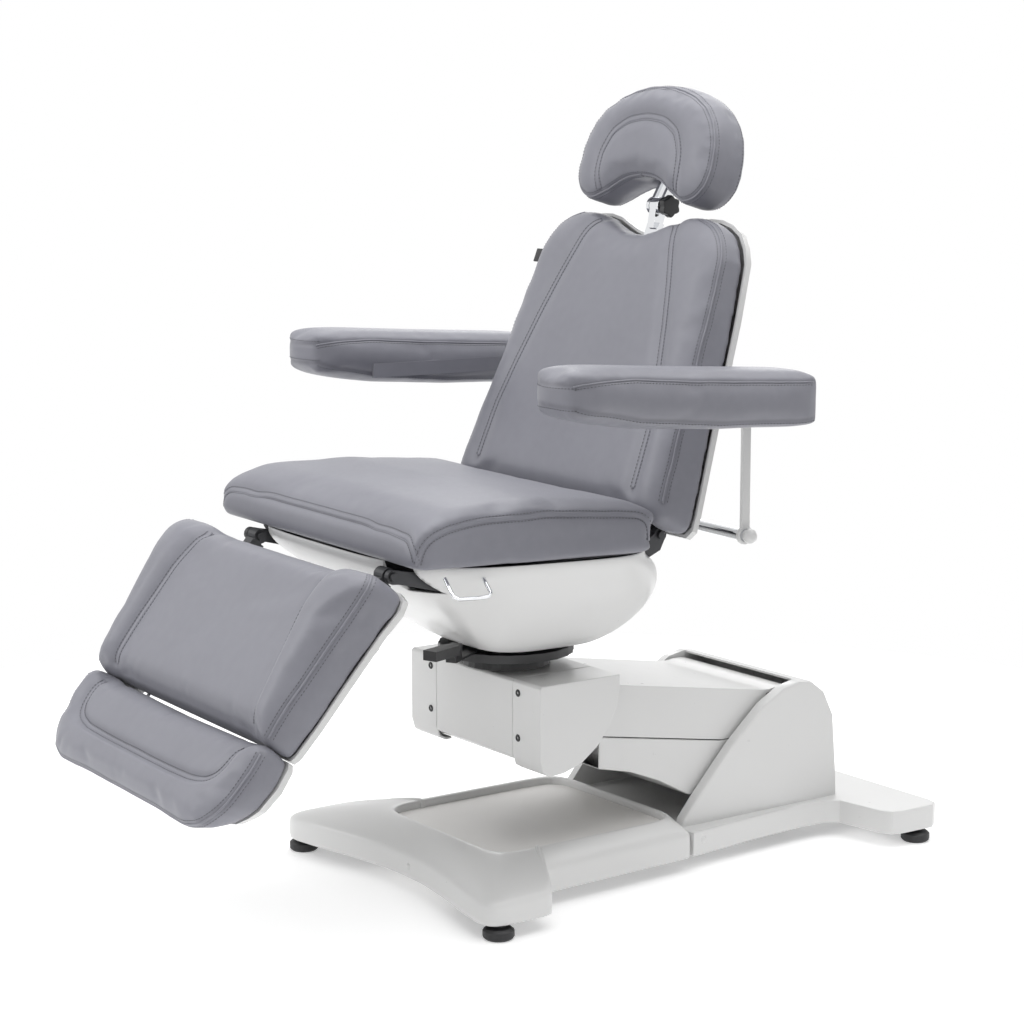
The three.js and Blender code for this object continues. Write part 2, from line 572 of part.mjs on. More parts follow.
// ---------------------------------------------------------------- back
const backHalf = [
  [0, BACK.dip], ...smooth([[30, 489], [68, 499], [108, 514], [156, BACK.height], [204, 511],
    [240, 489], [263, 452]], 9), [277, 358], [291, 198], [303, 92], [308, 40], [308, 16], [296, 3],
];
const backOutline = mirrored(backHalf);
const rearOf = (t) => 5 + 0.053 * t;
const backRing = (shrink, s) => shrunk(backOutline, shrink).map(([x, t]) => onBack(x, t, s(t)));
const padNotch = join(...[-1, 1].map((side) => box(
  side > 0 ? 196 : -240, side > 0 ? 240 : -196, 96, 176, 560, 612)), box(-197, 197, 96, 176, 560, 611));
const postPocket = inBack(-30, 30, 270, 530, -20, POST.depth + 12);
const backPad = loft([
  backRing(4, rearOf), backRing(0, (t) => rearOf(t) + 6), backRing(0, () => BACK.front - 14),
  backRing(5, () => BACK.front - 4), backRing(16, () => BACK.front),
]);
add(bed, 'back_cushion', cut(backPad, padNotch, postPocket), 'leather');
const shellOuter = loft([
  backRing(0, (t) => rearOf(t) - FIT_GAP), backRing(0, (t) => rearOf(t) - BACK.rim + 3),
  backRing(6, (t) => rearOf(t) - BACK.rim), backRing(34, (t) => rearOf(t) - BACK.rim - 16),
  backRing(80, (t) => rearOf(t) - BACK.shellDepth + 4), backRing(104, (t) => rearOf(t) - BACK.shellDepth),
]);
const shellInner = loft([
  backRing(6, (t) => rearOf(t) + 20), backRing(6, (t) => rearOf(t) - BACK.rim + 5),
  backRing(38, (t) => rearOf(t) - BACK.rim - 10), backRing(84, (t) => rearOf(t) - BACK.shellDepth + 9),
  backRing(106, (t) => rearOf(t) - BACK.shellDepth + 5),
]);
const postSlot = (grow) => {
  const bar = new THREE.BoxGeometry(POST.width + 2 * grow, POST.thickness + 2 * grow, 214);
  bar.rotateX(BACK_ANGLE - Math.PI / 2);
  return bar.translate(0, ...backPoint(BACK.dip - 90, POST.depth));
};
const shellBoss = [-1, 1].map((side) => rod(
  [side * 258, ...ARMREST.hub], [side * 311, ...ARMREST.hub], 21, 18));
const bossBore = [-1, 1].map((side) => rod(
  [side * 200, ...ARMREST.hub], [side * 320, ...ARMREST.hub], 12 + FIT_GAP, 14));
const uprightSlots = [-1, 1].map((side) => box(
  side > 0 ? 190 : -240, side > 0 ? 240 : -190, 96, 190, 560, 632));
const backShell = cut(
  join(cut(shellOuter, shellInner), ...shellBoss), ...bossBore, postSlot(2), padNotch,
  rod([0, ...backPoint(KNOB.t, -70)], [0, ...backPoint(KNOB.t, 10)], 7, 14), ...uprightSlots);
add(bed, 'back_shell', backShell, 'white');

// Steel back frame: two uprights, two cross rails, the recline eyes and the arm bearings.
const backFrameParts = [-1, 1].flatMap((side) => {
  const span = (a, b) => (side > 0 ? [a, b] : [-b, -a]);
  return [
    inBack(...span(196, 210), -2, 320, -9, 4),
    rod([side * 196, ...BACK_PIVOT], [side * 210, ...BACK_PIVOT], 13, 16),
    rod([side * 197, ...ARMREST.hub], [side * 250, ...ARMREST.hub], 11, 14),
    inBack(...span(196, 210), 228, 262, -14, 0),
  ];
});
const backFrame = cut(
  join(...backFrameParts, inBack(-200, 200, 60, 80, -10, 6), inBack(-200, 200, 290, 310, -10, 6),
    inBack(-24, 24, 292, 420, -6, POST.depth + 9)),
  backBore, postSlot(0.5));
add(bed, 'back_frame', backFrame, 'steel');
[['left', 1], ['right', -1]].forEach(([sideName, side]) => {
  add(bed, `recline_pin_${sideName}`,
    rod([side * 190, ...BACK_PIVOT], [side * 230, ...BACK_PIVOT], 7, 14), 'steel');
});

// ---------------------------------------------------------------- headrest
const [lowY, lowZ] = KNUCKLE.lower;
const [highY, highZ] = KNUCKLE.upper;
const eye = (x0, x1, y, z, radius) => rod([x0, y, z], [x1, y, z], radius, 16);
const knuckleBore = eye(-40, 40, lowY, lowZ, 5 + FIT_GAP);
const upperBore = eye(-40, 40, highY, highZ, 5 + FIT_GAP);
const postLug = across(
  [[lowY - 12, lowZ], [lowY - 18, lowZ - 36], [lowY, lowZ - 36], [lowY + 12, lowZ]], -9, 9);
const headrestPost = cut(join(postSlot(0), postLug, eye(-9, 9, lowY, lowZ, 14)), knuckleBore);
add(bed, 'headrest_post', headrestPost, 'chrome');
const linkCheek = (side) => {
  const x0 = side > 0 ? 9.5 : -16.5;
  const dy = highY - lowY;
  const dz = highZ - lowZ;
  const arm = new THREE.BoxGeometry(7, 18, Math.hypot(dy, dz));
  arm.rotateX(-Math.atan2(dy, dz)).translate(x0 + 3.5, lowY + dy / 2, lowZ + dz / 2);
  return join(arm, eye(x0, x0 + 7, lowY, lowZ, 15), eye(x0, x0 + 7, highY, highZ, 13));
};
const middleY = (lowY + highY) / 2;
const middleZ = (lowZ + highZ) / 2;
const headrestLink = cut(
  join(linkCheek(1), linkCheek(-1), eye(-10, 10, middleY, middleZ, 8)), knuckleBore, upperBore);
add(bed, 'headrest_link', headrestLink, 'chrome');
const knobLobes = Array.from({ length: 24 }, (_, k) => {
  const angle = k * 2 * Math.PI / 24;
  const radius = 17 + 2 * Math.cos(6 * angle);
  return [radius * Math.cos(angle), radius * Math.sin(angle)];
});
const knuckleKnob = raised(knobLobes, 0, 14, 2).rotateY(Math.PI / 2).translate(22.5, lowY, lowZ);
add(bed, 'knuckle_knob', knuckleKnob, 'black');

// The headrest's own frame: h runs up its face, d runs back through its thickness.
function headPoint(h, d) {
  const cos = Math.cos(HEADREST.tilt);
  const sin = Math.sin(HEADREST.tilt);
  return [HEADREST.face[0] + h * sin + d * cos, HEADREST.face[1] + h * cos - d * sin];
}
const headHalf = smooth([
  [0, -6], [50, -12], [92, -30], [128, -42], [158, -37], [182, -16], [190, 12], [185, 58], [168, 92],
  [140, 120], [94, 144], [48, 155], [0, 158],
], 16);
const headOutline = mirrored(headHalf);
const headRing = (shrink, d) => shrunk(headOutline, shrink).map(([x, h]) => [x, ...headPoint(h, d)]);
const headDepth = HEADREST.thickness;
const headPad = loft([
  headRing(16, 0), headRing(4, 4), headRing(0, 13), headRing(0, headDepth - 12),
  headRing(4, headDepth - 3), headRing(12, headDepth),
]);
const plateBack = headDepth + FIT_GAP;
const headBox = (x0, x1, h0, h1, d0, d1) => {
  const bar = new THREE.BoxGeometry(x1 - x0, d1 - d0, h1 - h0);
  bar.rotateX(-HEADREST.tilt);
  return bar.translate((x0 + x1) / 2, ...headPoint((h0 + h1) / 2, (d0 + d1) / 2));
};
const linkSlot = headBox(-20, 20, -80, 74, 36, 110);
const plateWeb = headBox(-8.5, 8.5, 50, 92, plateBack, plateBack + 14);
const headPlateFlat = cut(headBox(-60, 60, -6, 92, plateBack, plateBack + 5), linkSlot);
add(bed, 'headrest_plate',
  cut(join(headPlateFlat, plateWeb, eye(-8.5, 8.5, highY, highZ, 12)), upperBore), 'chrome');
add(bed, 'headrest_cushion', cut(headPad, linkSlot), 'leather');

// Clamp knob in the recess at the top of the back shell.
const clampKnob = join(
  rod([0, ...backPoint(KNOB.t, -44)], [0, ...backPoint(KNOB.t, -28)], KNOB.radius, 20),
  rod([0, ...backPoint(KNOB.t, -29)], [0, ...backPoint(KNOB.t, -8)], 5, 12));
add(bed, 'clamp_knob', clampKnob, 'chrome');

// ---------------------------------------------------------------- arm frame and armrests
const [hubY, hubZ] = ARMREST.hub;
[['left', 1], ['right', -1]].forEach(([sideName, side]) => {
  const span = (a, b) => (side > 0 ? [a, b] : [-b, -a]);
  const [x0, x1] = span(265, 352);
  const [r0, r1] = span(319, 326);
  const [f0, f1] = span(312, 318.5);
  const hub = join(
    rod([x0, hubY, hubZ], [x1, hubY, hubZ], 12, 14), rod([f0, hubY, hubZ], [f1, hubY, hubZ], 20, 18));
  add(bed, `arm_hub_${sideName}`, hub, 'chrome');
  const hanger = cut(
    join(rod([r0, hubY, hubZ], [r1, hubY, hubZ], 18, 18), box(r0, r1, hubY - 8, hubY + 8, 600, hubZ),
      rod([r0, hubY, CROSS_BAR.z], [r1, hubY, CROSS_BAR.z], 15, 16)),
    rod([side * 300, hubY, hubZ], [side * 350, hubY, hubZ], 12 + FIT_GAP, 14),
    rod([side * 300, hubY, CROSS_BAR.z], [side * 350, hubY, CROSS_BAR.z], CROSS_BAR.radius + FIT_GAP, 14));
  add(bed, `hanger_bar_${sideName}`, hanger, 'white');
  const hubGap = rod([side * 325, hubY, hubZ], [side * 353, hubY, hubZ], 12.5, 14);
  const bracket = cut(join(
    rod([side * 328, hubY, hubZ], [side * 334, hubY, hubZ], 22, 18),
    box(...span(328, 334), -60, hubY, hubZ - 12, hubZ + 12)), hubGap);
  add(bed, `armrest_bracket_${sideName}`, bracket, 'steel');
  const padSide = [
    [ARMREST.front, 832], [ARMREST.front + 14, 816], [-44, 795], [99, 782], [251, 776], [289, 777],
    [ARMREST.rear, 786], [ARMREST.rear, 844], [288, 852], [250, 854], [49, 866], [-90, 876], [-166, 880],
    [ARMREST.front, 870],
  ];
  const block = across(padSide, ...span(ARMREST.inner, ARMREST.outer), 8);
  const nose = 48;
  const middleX = side * (ARMREST.inner + ARMREST.outer) / 2;
  const widthHalf = (ARMREST.outer - ARMREST.inner) / 2;
  const ends = raised([
    ...smooth([[-widthHalf, nose], [-widthHalf * 0.9, nose * 0.36], [-widthHalf * 0.45, 4], [0, 0],
      [widthHalf * 0.45, 4], [widthHalf * 0.9, nose * 0.36], [widthHalf, nose]], 10),
    [widthHalf, ARMREST.rear - ARMREST.front - 26], [widthHalf - 8, ARMREST.rear - ARMREST.front - 6],
    [widthHalf - 26, ARMREST.rear - ARMREST.front], [-widthHalf + 26, ARMREST.rear - ARMREST.front],
    [-widthHalf + 8, ARMREST.rear - ARMREST.front - 6], [-widthHalf, ARMREST.rear - ARMREST.front - 26],
  ].map(([x, y]) => [middleX + x, ARMREST.front + y]), 700, 950);
  add(bed, `armrest_pad_${sideName}`, cut(keep(block, ends), hubGap), 'leather');
});
const crossBar = rod(
  [-CROSS_BAR.halfLength, hubY, CROSS_BAR.z], [CROSS_BAR.halfLength, hubY, CROSS_BAR.z],
  CROSS_BAR.radius, 16);
add(bed, 'cross_bar', crossBar, 'chrome');

// ---------------------------------------------------------------- leg rest
const legHalf = [
  [0, LEG.start], [300, LEG.start], [322, LEG.start + 8], [329, LEG.start + 26], [321, 92], [316, 182],
  [314, 256], [308, LEG.slit - 8], [302, LEG.slit], [0, LEG.slit],
];
const legOutline = [...legHalf, ...legHalf.slice(1, -1).map(([x, t]) => [-x, t]).reverse()];
const legTop = (t) => (t < 90 ? 84 + (t - LEG.start) * 0.15 : 94 - (t - 90) * 0.096);
const legRing = (shrink, s) => shrunk(legOutline, shrink).map(([x, t]) => onLeg(x, t, s(t)));
const padLine = LEG.line + FIT_GAP;
const kneeCut = inLeg(-360, 360, -60, LEG.start - 0.5, -100, 200);
const legPad = loft([
  legRing(2, () => padLine), legRing(0, () => padLine + 6), legRing(0, (t) => legTop(t) - 26),
  legRing(7, (t) => legTop(t) - 8), legRing(24, legTop),
]);
add(bed, 'leg_cushion', cut(legPad, kneeCut), 'leather');
const legShellOuter = loft([
  legRing(0, () => LEG.line), legRing(0, () => LEG.line - LEG.rim + 3), legRing(3, () => LEG.line - LEG.rim),
  legRing(40, () => LEG.line - LEG.rim - 3), legRing(64, () => -LEG.belly + 4),
  legRing(76, () => -LEG.belly),
]);
const legShellInner = loft([
  legRing(6, () => LEG.line + 20), legRing(6, () => LEG.line - LEG.rim + 5),
  legRing(44, () => LEG.line - LEG.rim + 2), legRing(68, () => -LEG.belly + 9),
  legRing(80, () => -LEG.belly + 5),
]);
const kneeOpening = inLeg(-244, 244, -60, 112, -26, 40);
const footOpening = inLeg(-226, 226, 220, 380, -26, 40);
add(bed, 'leg_shell', cut(legShellOuter, legShellInner, kneeOpening, footOpening), 'white');

// Steel leg frame: knee eyes, side tubes that take the foot rails, and cross rails.
const legSide = (side) => {
  const span = (a, b) => (side > 0 ? [a, b] : [-b, -a]);
  return join(
    inLeg(...span(196, 220), 10, 300, -14, 10),
    rod([side * 196, ...LEG_PIVOT], [side * 222, ...LEG_PIVOT], 12, 16),
    inLeg(...span(196, 220), 0, 20, -8, 8));
};
const railBore = (side) => inLeg(side * 208 - 7, side * 208 + 7, 60, 340, -9, 5);
const legFrame = cut(
  join(legSide(1), legSide(-1), inLeg(-200, 200, 60, 84, -12, 8), inLeg(-200, 200, 262, 286, -12, 8)),
  kneeBore, railBore(1), railBore(-1));
add(bed, 'leg_frame', legFrame, 'steel');
[['left', 1], ['right', -1]].forEach(([sideName, side]) => {
  add(bed, `knee_pin_${sideName}`,
    rod([side * 190, ...LEG_PIVOT], [side * 242, ...LEG_PIVOT], 7, 14), 'steel');
});

// ---------------------------------------------------------------- sliding foot section
const footStart = LEG.slit + 2;
const footHalf = [
  [0, footStart], [300, footStart], [309, footStart + 8], [315, 362], [306, 420], [293, 446],
  [272, 472], [236, 486], [180, LEG.end], [0, LEG.end],
];
const footOutline = [...footHalf, ...footHalf.slice(1, -1).map(([x, t]) => [-x, t]).reverse()];
// The end of the foot section is cut level with the floor when the leg rest hangs.
const footEnd = (t, s) => {
  const bend = 372;
  const reach = LEG.end + (s - 72) * 0.8;
  return t < bend ? t : bend + (t - bend) * (reach - bend) / (LEG.end - bend);
};
const footRing = (shrink, s) => shrunk(footOutline, shrink).map(([x, t]) => onLeg(x, footEnd(t, s), s));
const footPad = loft([
  footRing(2, padLine), footRing(0, padLine + 6), footRing(0, 56), footRing(6, 66), footRing(20, 72),
]);
add(bed, 'foot_cushion', footPad, 'leather');
const footShell = join(loft([
  footRing(0, LEG.line), footRing(0, LEG.line - LEG.rim + 3), footRing(3, LEG.line - LEG.rim),
  footRing(30, LEG.line - LEG.rim - 1),
]));
const railSeat = [-1, 1].map((side) => inLeg(side * 208 - 10, side * 208 + 10, 318, 430, -14, 3));
add(bed, 'foot_shell', cut(footShell, ...railSeat), 'white');
[['left', 1], ['right', -1]].forEach(([sideName, side]) => {
  const rail = inLeg(side * 208 - 6, side * 208 + 6, 110, 424, -8, 2.5);
  add(bed, `foot_rail_${sideName}`, rail, 'chrome');
});

// D-shaped pull handle on the underside of the leg rest, and its two feet.
const handlePoint = (x, t, s) => new THREE.Vector3(...onLeg(x, t, s));
const handleFoot = -LEG.belly - 2 * FIT_GAP;
const handleLine = new THREE.CatmullRomCurve3([
  handlePoint(-60, 226, handleFoot), handlePoint(-60, 226, -58), handlePoint(-46, 226, -66),
  handlePoint(46, 226, -66), handlePoint(60, 226, -58), handlePoint(60, 226, handleFoot),
], false, 'catmullrom', 0.25);
add(bed, 'pull_handle', new THREE.ExtrudeGeometry(
  new THREE.Shape(wire.map((p) => p.clone().multiplyScalar(1.6))), { steps: 16, extrudePath: handleLine }),
'chrome');

// The origin is the middle of the footprint, on the floor.
bed.updateMatrixWorld(true);
const bounds = new THREE.Box3().setFromObject(bed, true);
bed.position.set(-(bounds.min.x + bounds.max.x) / 2, -(bounds.min.y + bounds.max.y) / 2, -bounds.min.z);

export default bed;
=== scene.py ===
import json
import math

import bmesh
import bpy
import numpy as np
from mathutils import Matrix, Vector
from mathutils.bvhtree import BVHTree
from mathutils.kdtree import KDTree


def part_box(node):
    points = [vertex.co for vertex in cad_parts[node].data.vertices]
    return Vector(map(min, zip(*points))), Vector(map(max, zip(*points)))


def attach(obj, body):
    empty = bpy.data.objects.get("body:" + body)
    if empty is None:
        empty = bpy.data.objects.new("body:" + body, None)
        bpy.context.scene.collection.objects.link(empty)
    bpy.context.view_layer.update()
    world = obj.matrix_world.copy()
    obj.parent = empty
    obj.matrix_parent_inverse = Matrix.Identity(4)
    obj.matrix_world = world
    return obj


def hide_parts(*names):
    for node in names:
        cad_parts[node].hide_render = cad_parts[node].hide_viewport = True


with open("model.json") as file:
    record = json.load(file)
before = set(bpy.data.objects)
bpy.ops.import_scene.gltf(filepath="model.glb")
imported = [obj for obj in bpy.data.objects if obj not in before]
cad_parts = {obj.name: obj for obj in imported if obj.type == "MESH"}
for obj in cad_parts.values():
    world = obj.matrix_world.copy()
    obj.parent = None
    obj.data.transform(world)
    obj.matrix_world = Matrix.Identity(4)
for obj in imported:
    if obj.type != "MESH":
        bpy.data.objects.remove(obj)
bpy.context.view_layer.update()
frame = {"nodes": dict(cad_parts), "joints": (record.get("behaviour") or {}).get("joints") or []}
joints = {joint["name"]: joint for joint in frame["joints"]}
scene = bpy.context.scene
MM = 0.001

# ---------------------------------------------------------------- studio
# A white sweep under large soft lamps, as a catalogue is shot, with the sitter's left side and
# front towards a long lens.
camera = bpy.data.objects.new("camera", bpy.data.cameras.new("camera"))
camera.location = (3.3765, -2.1757, 1.2486)
camera.rotation_euler = (math.radians(80.879), 0, math.radians(57.189))
camera.data.lens = 86.98
camera.data.sensor_width = 36
scene.collection.objects.link(camera)
scene.camera = camera

world = bpy.data.worlds.new("studio")
scene.world = world
world.use_nodes = True
backdrop = world.node_tree.nodes["Background"]
backdrop.inputs["Color"].default_value = (1, 1, 1, 1)
# The sweep looks plain white, and lights the bed about a third as strongly as it looks.
DIFFUSE_DIMMING = 0.66
rays = world.node_tree.nodes.new("ShaderNodeLightPath")
dimmed = world.node_tree.nodes.new("ShaderNodeMath")
dimmed.operation = "MULTIPLY_ADD"
dimmed.inputs[1].default_value = -DIFFUSE_DIMMING
dimmed.inputs[2].default_value = 1.0
world.node_tree.links.new(rays.outputs["Is Diffuse Ray"], dimmed.inputs[0])
world.node_tree.links.new(dimmed.outputs[0], backdrop.inputs["Strength"])
scene.view_settings.view_transform = "Standard"


def lamp(name, place, aim, size, watts):
    light = bpy.data.lights.new(name, "AREA")
    light.shape = "RECTANGLE"
    light.size, light.size_y = size
    light.energy = watts
    obj = bpy.data.objects.new(name, light)
    obj.location = place
    obj.rotation_euler = (Vector(aim) - Vector(place)).to_track_quat("-Z", "Y").to_euler()
    scene.collection.objects.link(obj)


lamp("overhead_lamp", place=(0.3, 0.2, 3.4), aim=(0, 0, 0.5), size=(4.2, 4.2), watts=112)
lamp("front_lamp", place=(-1.4, -3.2, 2.4), aim=(0, 0, 0.6), size=(2.2, 2.2), watts=54)
lamp("side_lamp", place=(3.2, 1.6, 2.2), aim=(0, 0, 0.6), size=(1.6, 2.2), watts=4)
lamp("back_lamp", place=(-2.6, 2.4, 2.4), aim=(0, 0, 0.7), size=(2.0, 2.0), watts=24)

# ---------------------------------------------------------------- base
# The base is moulded in white ABS over a steel chassis, in two covers that meet at a seam, with
# a grey tray sunk in the front one. The base stands a little off the seat's own line.


class Value:
    """A socket's output. Arithmetic on it adds Math nodes."""

    def __init__(self, finish, socket):
        self.finish = finish
        self.socket = socket

    def math(self, operation, *values):
        return self.finish.node("Math", dict(enumerate(values)), operation=operation)

    def __add__(self, other):
        return self.math("ADD", self, other)

    def __sub__(self, other):
        return self.math("SUBTRACT", self, other)

    def __rsub__(self, other):
        return self.math("SUBTRACT", other, self)

    def __mul__(self, other):
        return self.math("MULTIPLY", self, other)

    __radd__ = __add__
    __rmul__ = __mul__


class Finish:
    """One material on a Principled shader. node() adds any other node and gives its output."""

    def __init__(self, name, **sockets):
        self.material = bpy.data.materials.new(name)
        self.material.use_nodes = True
        self.tree = self.material.node_tree
        self.shader = self.tree.nodes["Principled BSDF"]
        for socket, value in sockets.items():
            self.shader.inputs[socket.replace("_", " ")].default_value = value
        self.place = self.node("TexCoord", output="Object")

    def node(self, kind, inputs=None, output=0, **settings):
        made = self.tree.nodes.new("ShaderNode" + kind)
        for key, value in settings.items():
            setattr(made, key, value)
        for key, value in (inputs or {}).items():
            self.feed(made.inputs[key], value)
        return Value(self, made.outputs[output])

    def feed(self, socket, value):
        if isinstance(value, Value):
            self.tree.links.new(value.socket, socket)
        else:
            socket.default_value = value

    def noise(self, scale, detail=2):
        return self.node("TexNoise", {"Vector": self.place, "Scale": scale, "Detail": detail})

    def set(self, **sockets):
        for socket, value in sockets.items():
            self.feed(self.shader.inputs[socket.replace("_", " ")], value)
        return self

    def bump(self, height, strength, depth):
        normal = self.node("Bump", {"Height": height, "Strength": strength, "Distance": depth})
        return self.set(Normal=normal)

    def shades(self, mask, dark, light):
        mixed = self.node("Mix", {0: mask, 6: (*dark, 1), 7: (*light, 1)}, output=2, data_type="RGBA")
        return self.set(Base_Color=mixed)


def moulded(name, dark, light, roughness, peel):
    """Plastic with a faint cloudiness, and with peel as the strength of its orange peel."""
    made = Finish(name, Coat_Weight=0.12, Coat_Roughness=0.12)
    made.shades(made.noise(3.5, 3), dark, light)
    made.set(Roughness=made.noise(60) * 0.1 + (roughness - 0.05))
    return made.bump(made.noise(900, 3), peel, 0.0002)


white = moulded("white_abs", (0.69, 0.69, 0.685), (0.75, 0.75, 0.745), 0.3, 0.06)
tray_grey = moulded("tray_grey", (0.80, 0.785, 0.765), (0.86, 0.845, 0.825), 0.55, 0.5)
rubber = moulded("ribbed_rubber", (0.012, 0.012, 0.013), (0.022, 0.022, 0.024), 0.62, 0.4)

BASE_ANGLE = 3
base_turn = Matrix.Rotation(math.radians(BASE_ANGLE), 4, "Z")
seat_line = joints["swivel"]["pos_m"]


def base_at(u, v, z):
    """A place in the base's own lines, in millimetres, as a place in the frame."""
    turned = base_turn @ Vector((u * MM, v * MM, z * MM))
    return turned + Vector((seat_line[0], seat_line[1], 0))


def new_piece(name, points, faces, material):
    mesh = bpy.data.meshes.new(name)
    mesh.from_pydata([tuple(p) for p in points], [], faces)
    mesh.materials.append(material)
    mesh.shade_smooth()
    obj = bpy.data.objects.new(name, mesh)
    scene.collection.objects.link(obj)
    return obj


def outward(obj, doubles=1e-6):
    """Merges doubles and turns the faces of a mesh outwards."""
    bm = bmesh.new()
    bm.from_mesh(obj.data)
    bmesh.ops.remove_doubles(bm, verts=bm.verts, dist=doubles)
    bmesh.ops.recalc_face_normals(bm, faces=bm.faces)
    bm.to_mesh(obj.data)
    bm.free()


def modifier(obj, kind, **settings):
    made = obj.modifiers.new(kind.lower(), kind)
    for key, value in settings.items():
        setattr(made, key, value)
    return made


def rounded(obj, levels=2):
    modifier(obj, "SUBSURF", levels=levels, render_levels=levels)


def finished(obj, body, slot, *nodes):
    """A piece rides on its body and stands for its CAD nodes, which are hidden. The slot is not used."""
    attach(obj, body)
    if nodes:
        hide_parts(*nodes)
    return obj


def fixed(obj):
    """Applies the modifiers, so that the mesh is final."""
    shape = obj.evaluated_get(bpy.context.evaluated_depsgraph_get())
    mesh = bpy.data.meshes.new_from_object(shape)
    obj.modifiers.clear()
    obj.data = mesh
    return obj


def softened(node, body, slot, material, width, angle=32):
    """A CAD piece with its edges rounded over, as a mould's are."""
    mesh = frame["nodes"][node].data.copy()
    mesh.materials.clear()
    mesh.materials.append(material)
    obj = bpy.data.objects.new(f"{node}_moulding", mesh)
    scene.collection.objects.link(obj)
    bm = bmesh.new()
    bm.from_mesh(mesh)
    bmesh.ops.remove_doubles(bm, verts=bm.verts, dist=2e-5)
    bmesh.ops.dissolve_limit(bm, angle_limit=math.radians(1.5), verts=bm.verts, edges=bm.edges)
    bm.to_mesh(mesh)
    bm.free()
    mesh.shade_smooth()
    modifier(obj, "BEVEL", width=width, segments=3, limit_method="ANGLE",
             angle_limit=math.radians(angle), harden_normals=True)
    modifier(obj, "WEIGHTED_NORMAL", keep_sharp=True)
    return finished(obj, body, slot, node)


def paint(material, *nodes):
    """Gives CAD nodes that are shown their material."""
    for node in nodes:
        frame["nodes"][node].data.materials.clear()
        frame["nodes"][node].data.materials.append(material)


def loft(name, rings, material):
    """A skin over rings with the same number of points, open at both ends."""
    count = len(rings[0])
    points = [p for ring in rings for p in ring]
    faces = [
        (i * count + k, i * count + (k + 1) % count,
         (i + 1) * count + (k + 1) % count, (i + 1) * count + k)
        for i in range(len(rings) - 1) for k in range(count)
    ]
    obj = new_piece(name, points, faces, material)
    outward(obj)
    return obj


def spaced(points, count):
    """Points at even steps along a closed outline."""
    loop = np.array([*points, points[0]], float)
    run = np.concatenate([[0], np.cumsum(np.linalg.norm(np.diff(loop, axis=0), axis=1))])
    at = np.arange(count) * run[-1] / count
    return np.stack([np.interp(at, run, loop[:, i]) for i in range(loop.shape[1])], axis=1)


def both_sides(half):
    """A half outline and its mirror image, as one closed outline."""
    return [*half, *[(-x, y) for x, y in half[::-1] if x > 0.01]]


front_half = [
    (0, -209), (60, -211), (140, -224), (226, -243), (276, -251), (299, -246), (309, -230),
    (309, -140), (300, -124), (248, -112), (222, -92), (214, -60), (207, 120), (202, 239.5),
    (0, 239.5),
]
RIM = 88
TRAY_FLOOR = 71
TRAY_HALF_WIDTH = 166
TRAY_FRONT, TRAY_MIDDLE, TRAY_REAR = -132, 40, 228
CORNER_POWER = 9
front_plan = spaced(both_sides(front_half), 160)
bearing = np.arctan2(front_plan[:, 1] - TRAY_MIDDLE, front_plan[:, 0])


def tray_edge(grow):
    """The tray's rounded outline at the bearings of the cover's own outline."""
    wide = TRAY_HALF_WIDTH + grow
    ahead = TRAY_MIDDLE - TRAY_FRONT + grow
    behind = TRAY_REAR - TRAY_MIDDLE + grow
    points = []
    for angle in bearing:
        way = np.array([math.cos(angle), math.sin(angle)])
        tall = behind if way[1] > 0 else ahead
        fill_x, fill_y = abs(way[0]) / wide, abs(way[1]) / tall
        reach = 1 / (fill_x ** CORNER_POWER + fill_y ** CORNER_POWER) ** (1 / CORNER_POWER)
        points.append(way * reach + (0, TRAY_MIDDLE))
    return np.array(points)


def cover_ring(share, z, grow=6):
    """A ring of the front cover at a height, a share of the way in to the tray's edge."""
    mixed = front_plan * (1 - share) + tray_edge(grow) * share
    return [base_at(u, v, z) for u, v in mixed]


front_cover = loft("base_front_moulding", [
    cover_ring(0.02, 24), cover_ring(0, 26), cover_ring(0, 56), cover_ring(0.02, 62),
    cover_ring(0.1, 68), cover_ring(0.4, 78), cover_ring(0.8, 86), cover_ring(0.96, RIM),
    cover_ring(1, RIM, 3), cover_ring(1, RIM - 3, 0), cover_ring(1, TRAY_FLOOR, -1),
], white.material)
modifier(front_cover, "SOLIDIFY", thickness=0.003, offset=-1)
rounded(front_cover, 1)
finished(front_cover, "base", "white_plastic", "base_front_cover")

TURN_STEPS = 24


def turned(name, profile, place, way, body, slot, material):
    """A piece turned about its own axis, from a profile of radius and height, top to bottom."""
    mesh = bpy.data.meshes.new(name)
    edges = [(i, i + 1) for i in range(len(profile) - 1)]
    mesh.from_pydata([(radius * MM, 0, height * MM) for radius, height in profile], edges, [])
    mesh.materials.append(material)
    obj = bpy.data.objects.new(name, mesh)
    scene.collection.objects.link(obj)
    modifier(obj, "SCREW", steps=TURN_STEPS, render_steps=TURN_STEPS, use_merge_vertices=True,
             merge_threshold=1e-5)
    fixed(obj)
    turn = Vector(way).to_track_quat("Z", "Y").to_matrix().to_4x4()
    obj.data.transform(Matrix.Translation(place) @ turn)
    obj.data.shade_smooth()
    return finished(obj, body, slot)


SOCKET_SCREW = [(0, -0.6), (2.4, -0.6), (2.6, 1.6), (4.8, 1.6), (6, 0.6), (6, -1.5), (0, -1.5)]
DOME_SCREW = [(0, 2.6), (2.5, 2.3), (4.6, 1.4), (6, 0), (6, -1.5), (0, -1.5)]
for name, place, way in (("front", (20, -209.5, 44), (0, -1, 0)), ("side", (199.5, 264, 50), (1, 0, 0))):
    turned(f"base_{name}_screw", DOME_SCREW, base_at(*place), base_turn @ Vector(way),
           "base", "chrome", white.material)
softened("base_rear_cover", "base", "white_plastic", white.material, width=0.005)
paint(tray_grey.material, "base_tray")
for end in ("front", "rear"):
    for hand in ("left", "right"):
        softened(f"foot_{end}_{hand}", "base", "rubber_foot", rubber.material, width=0.001)

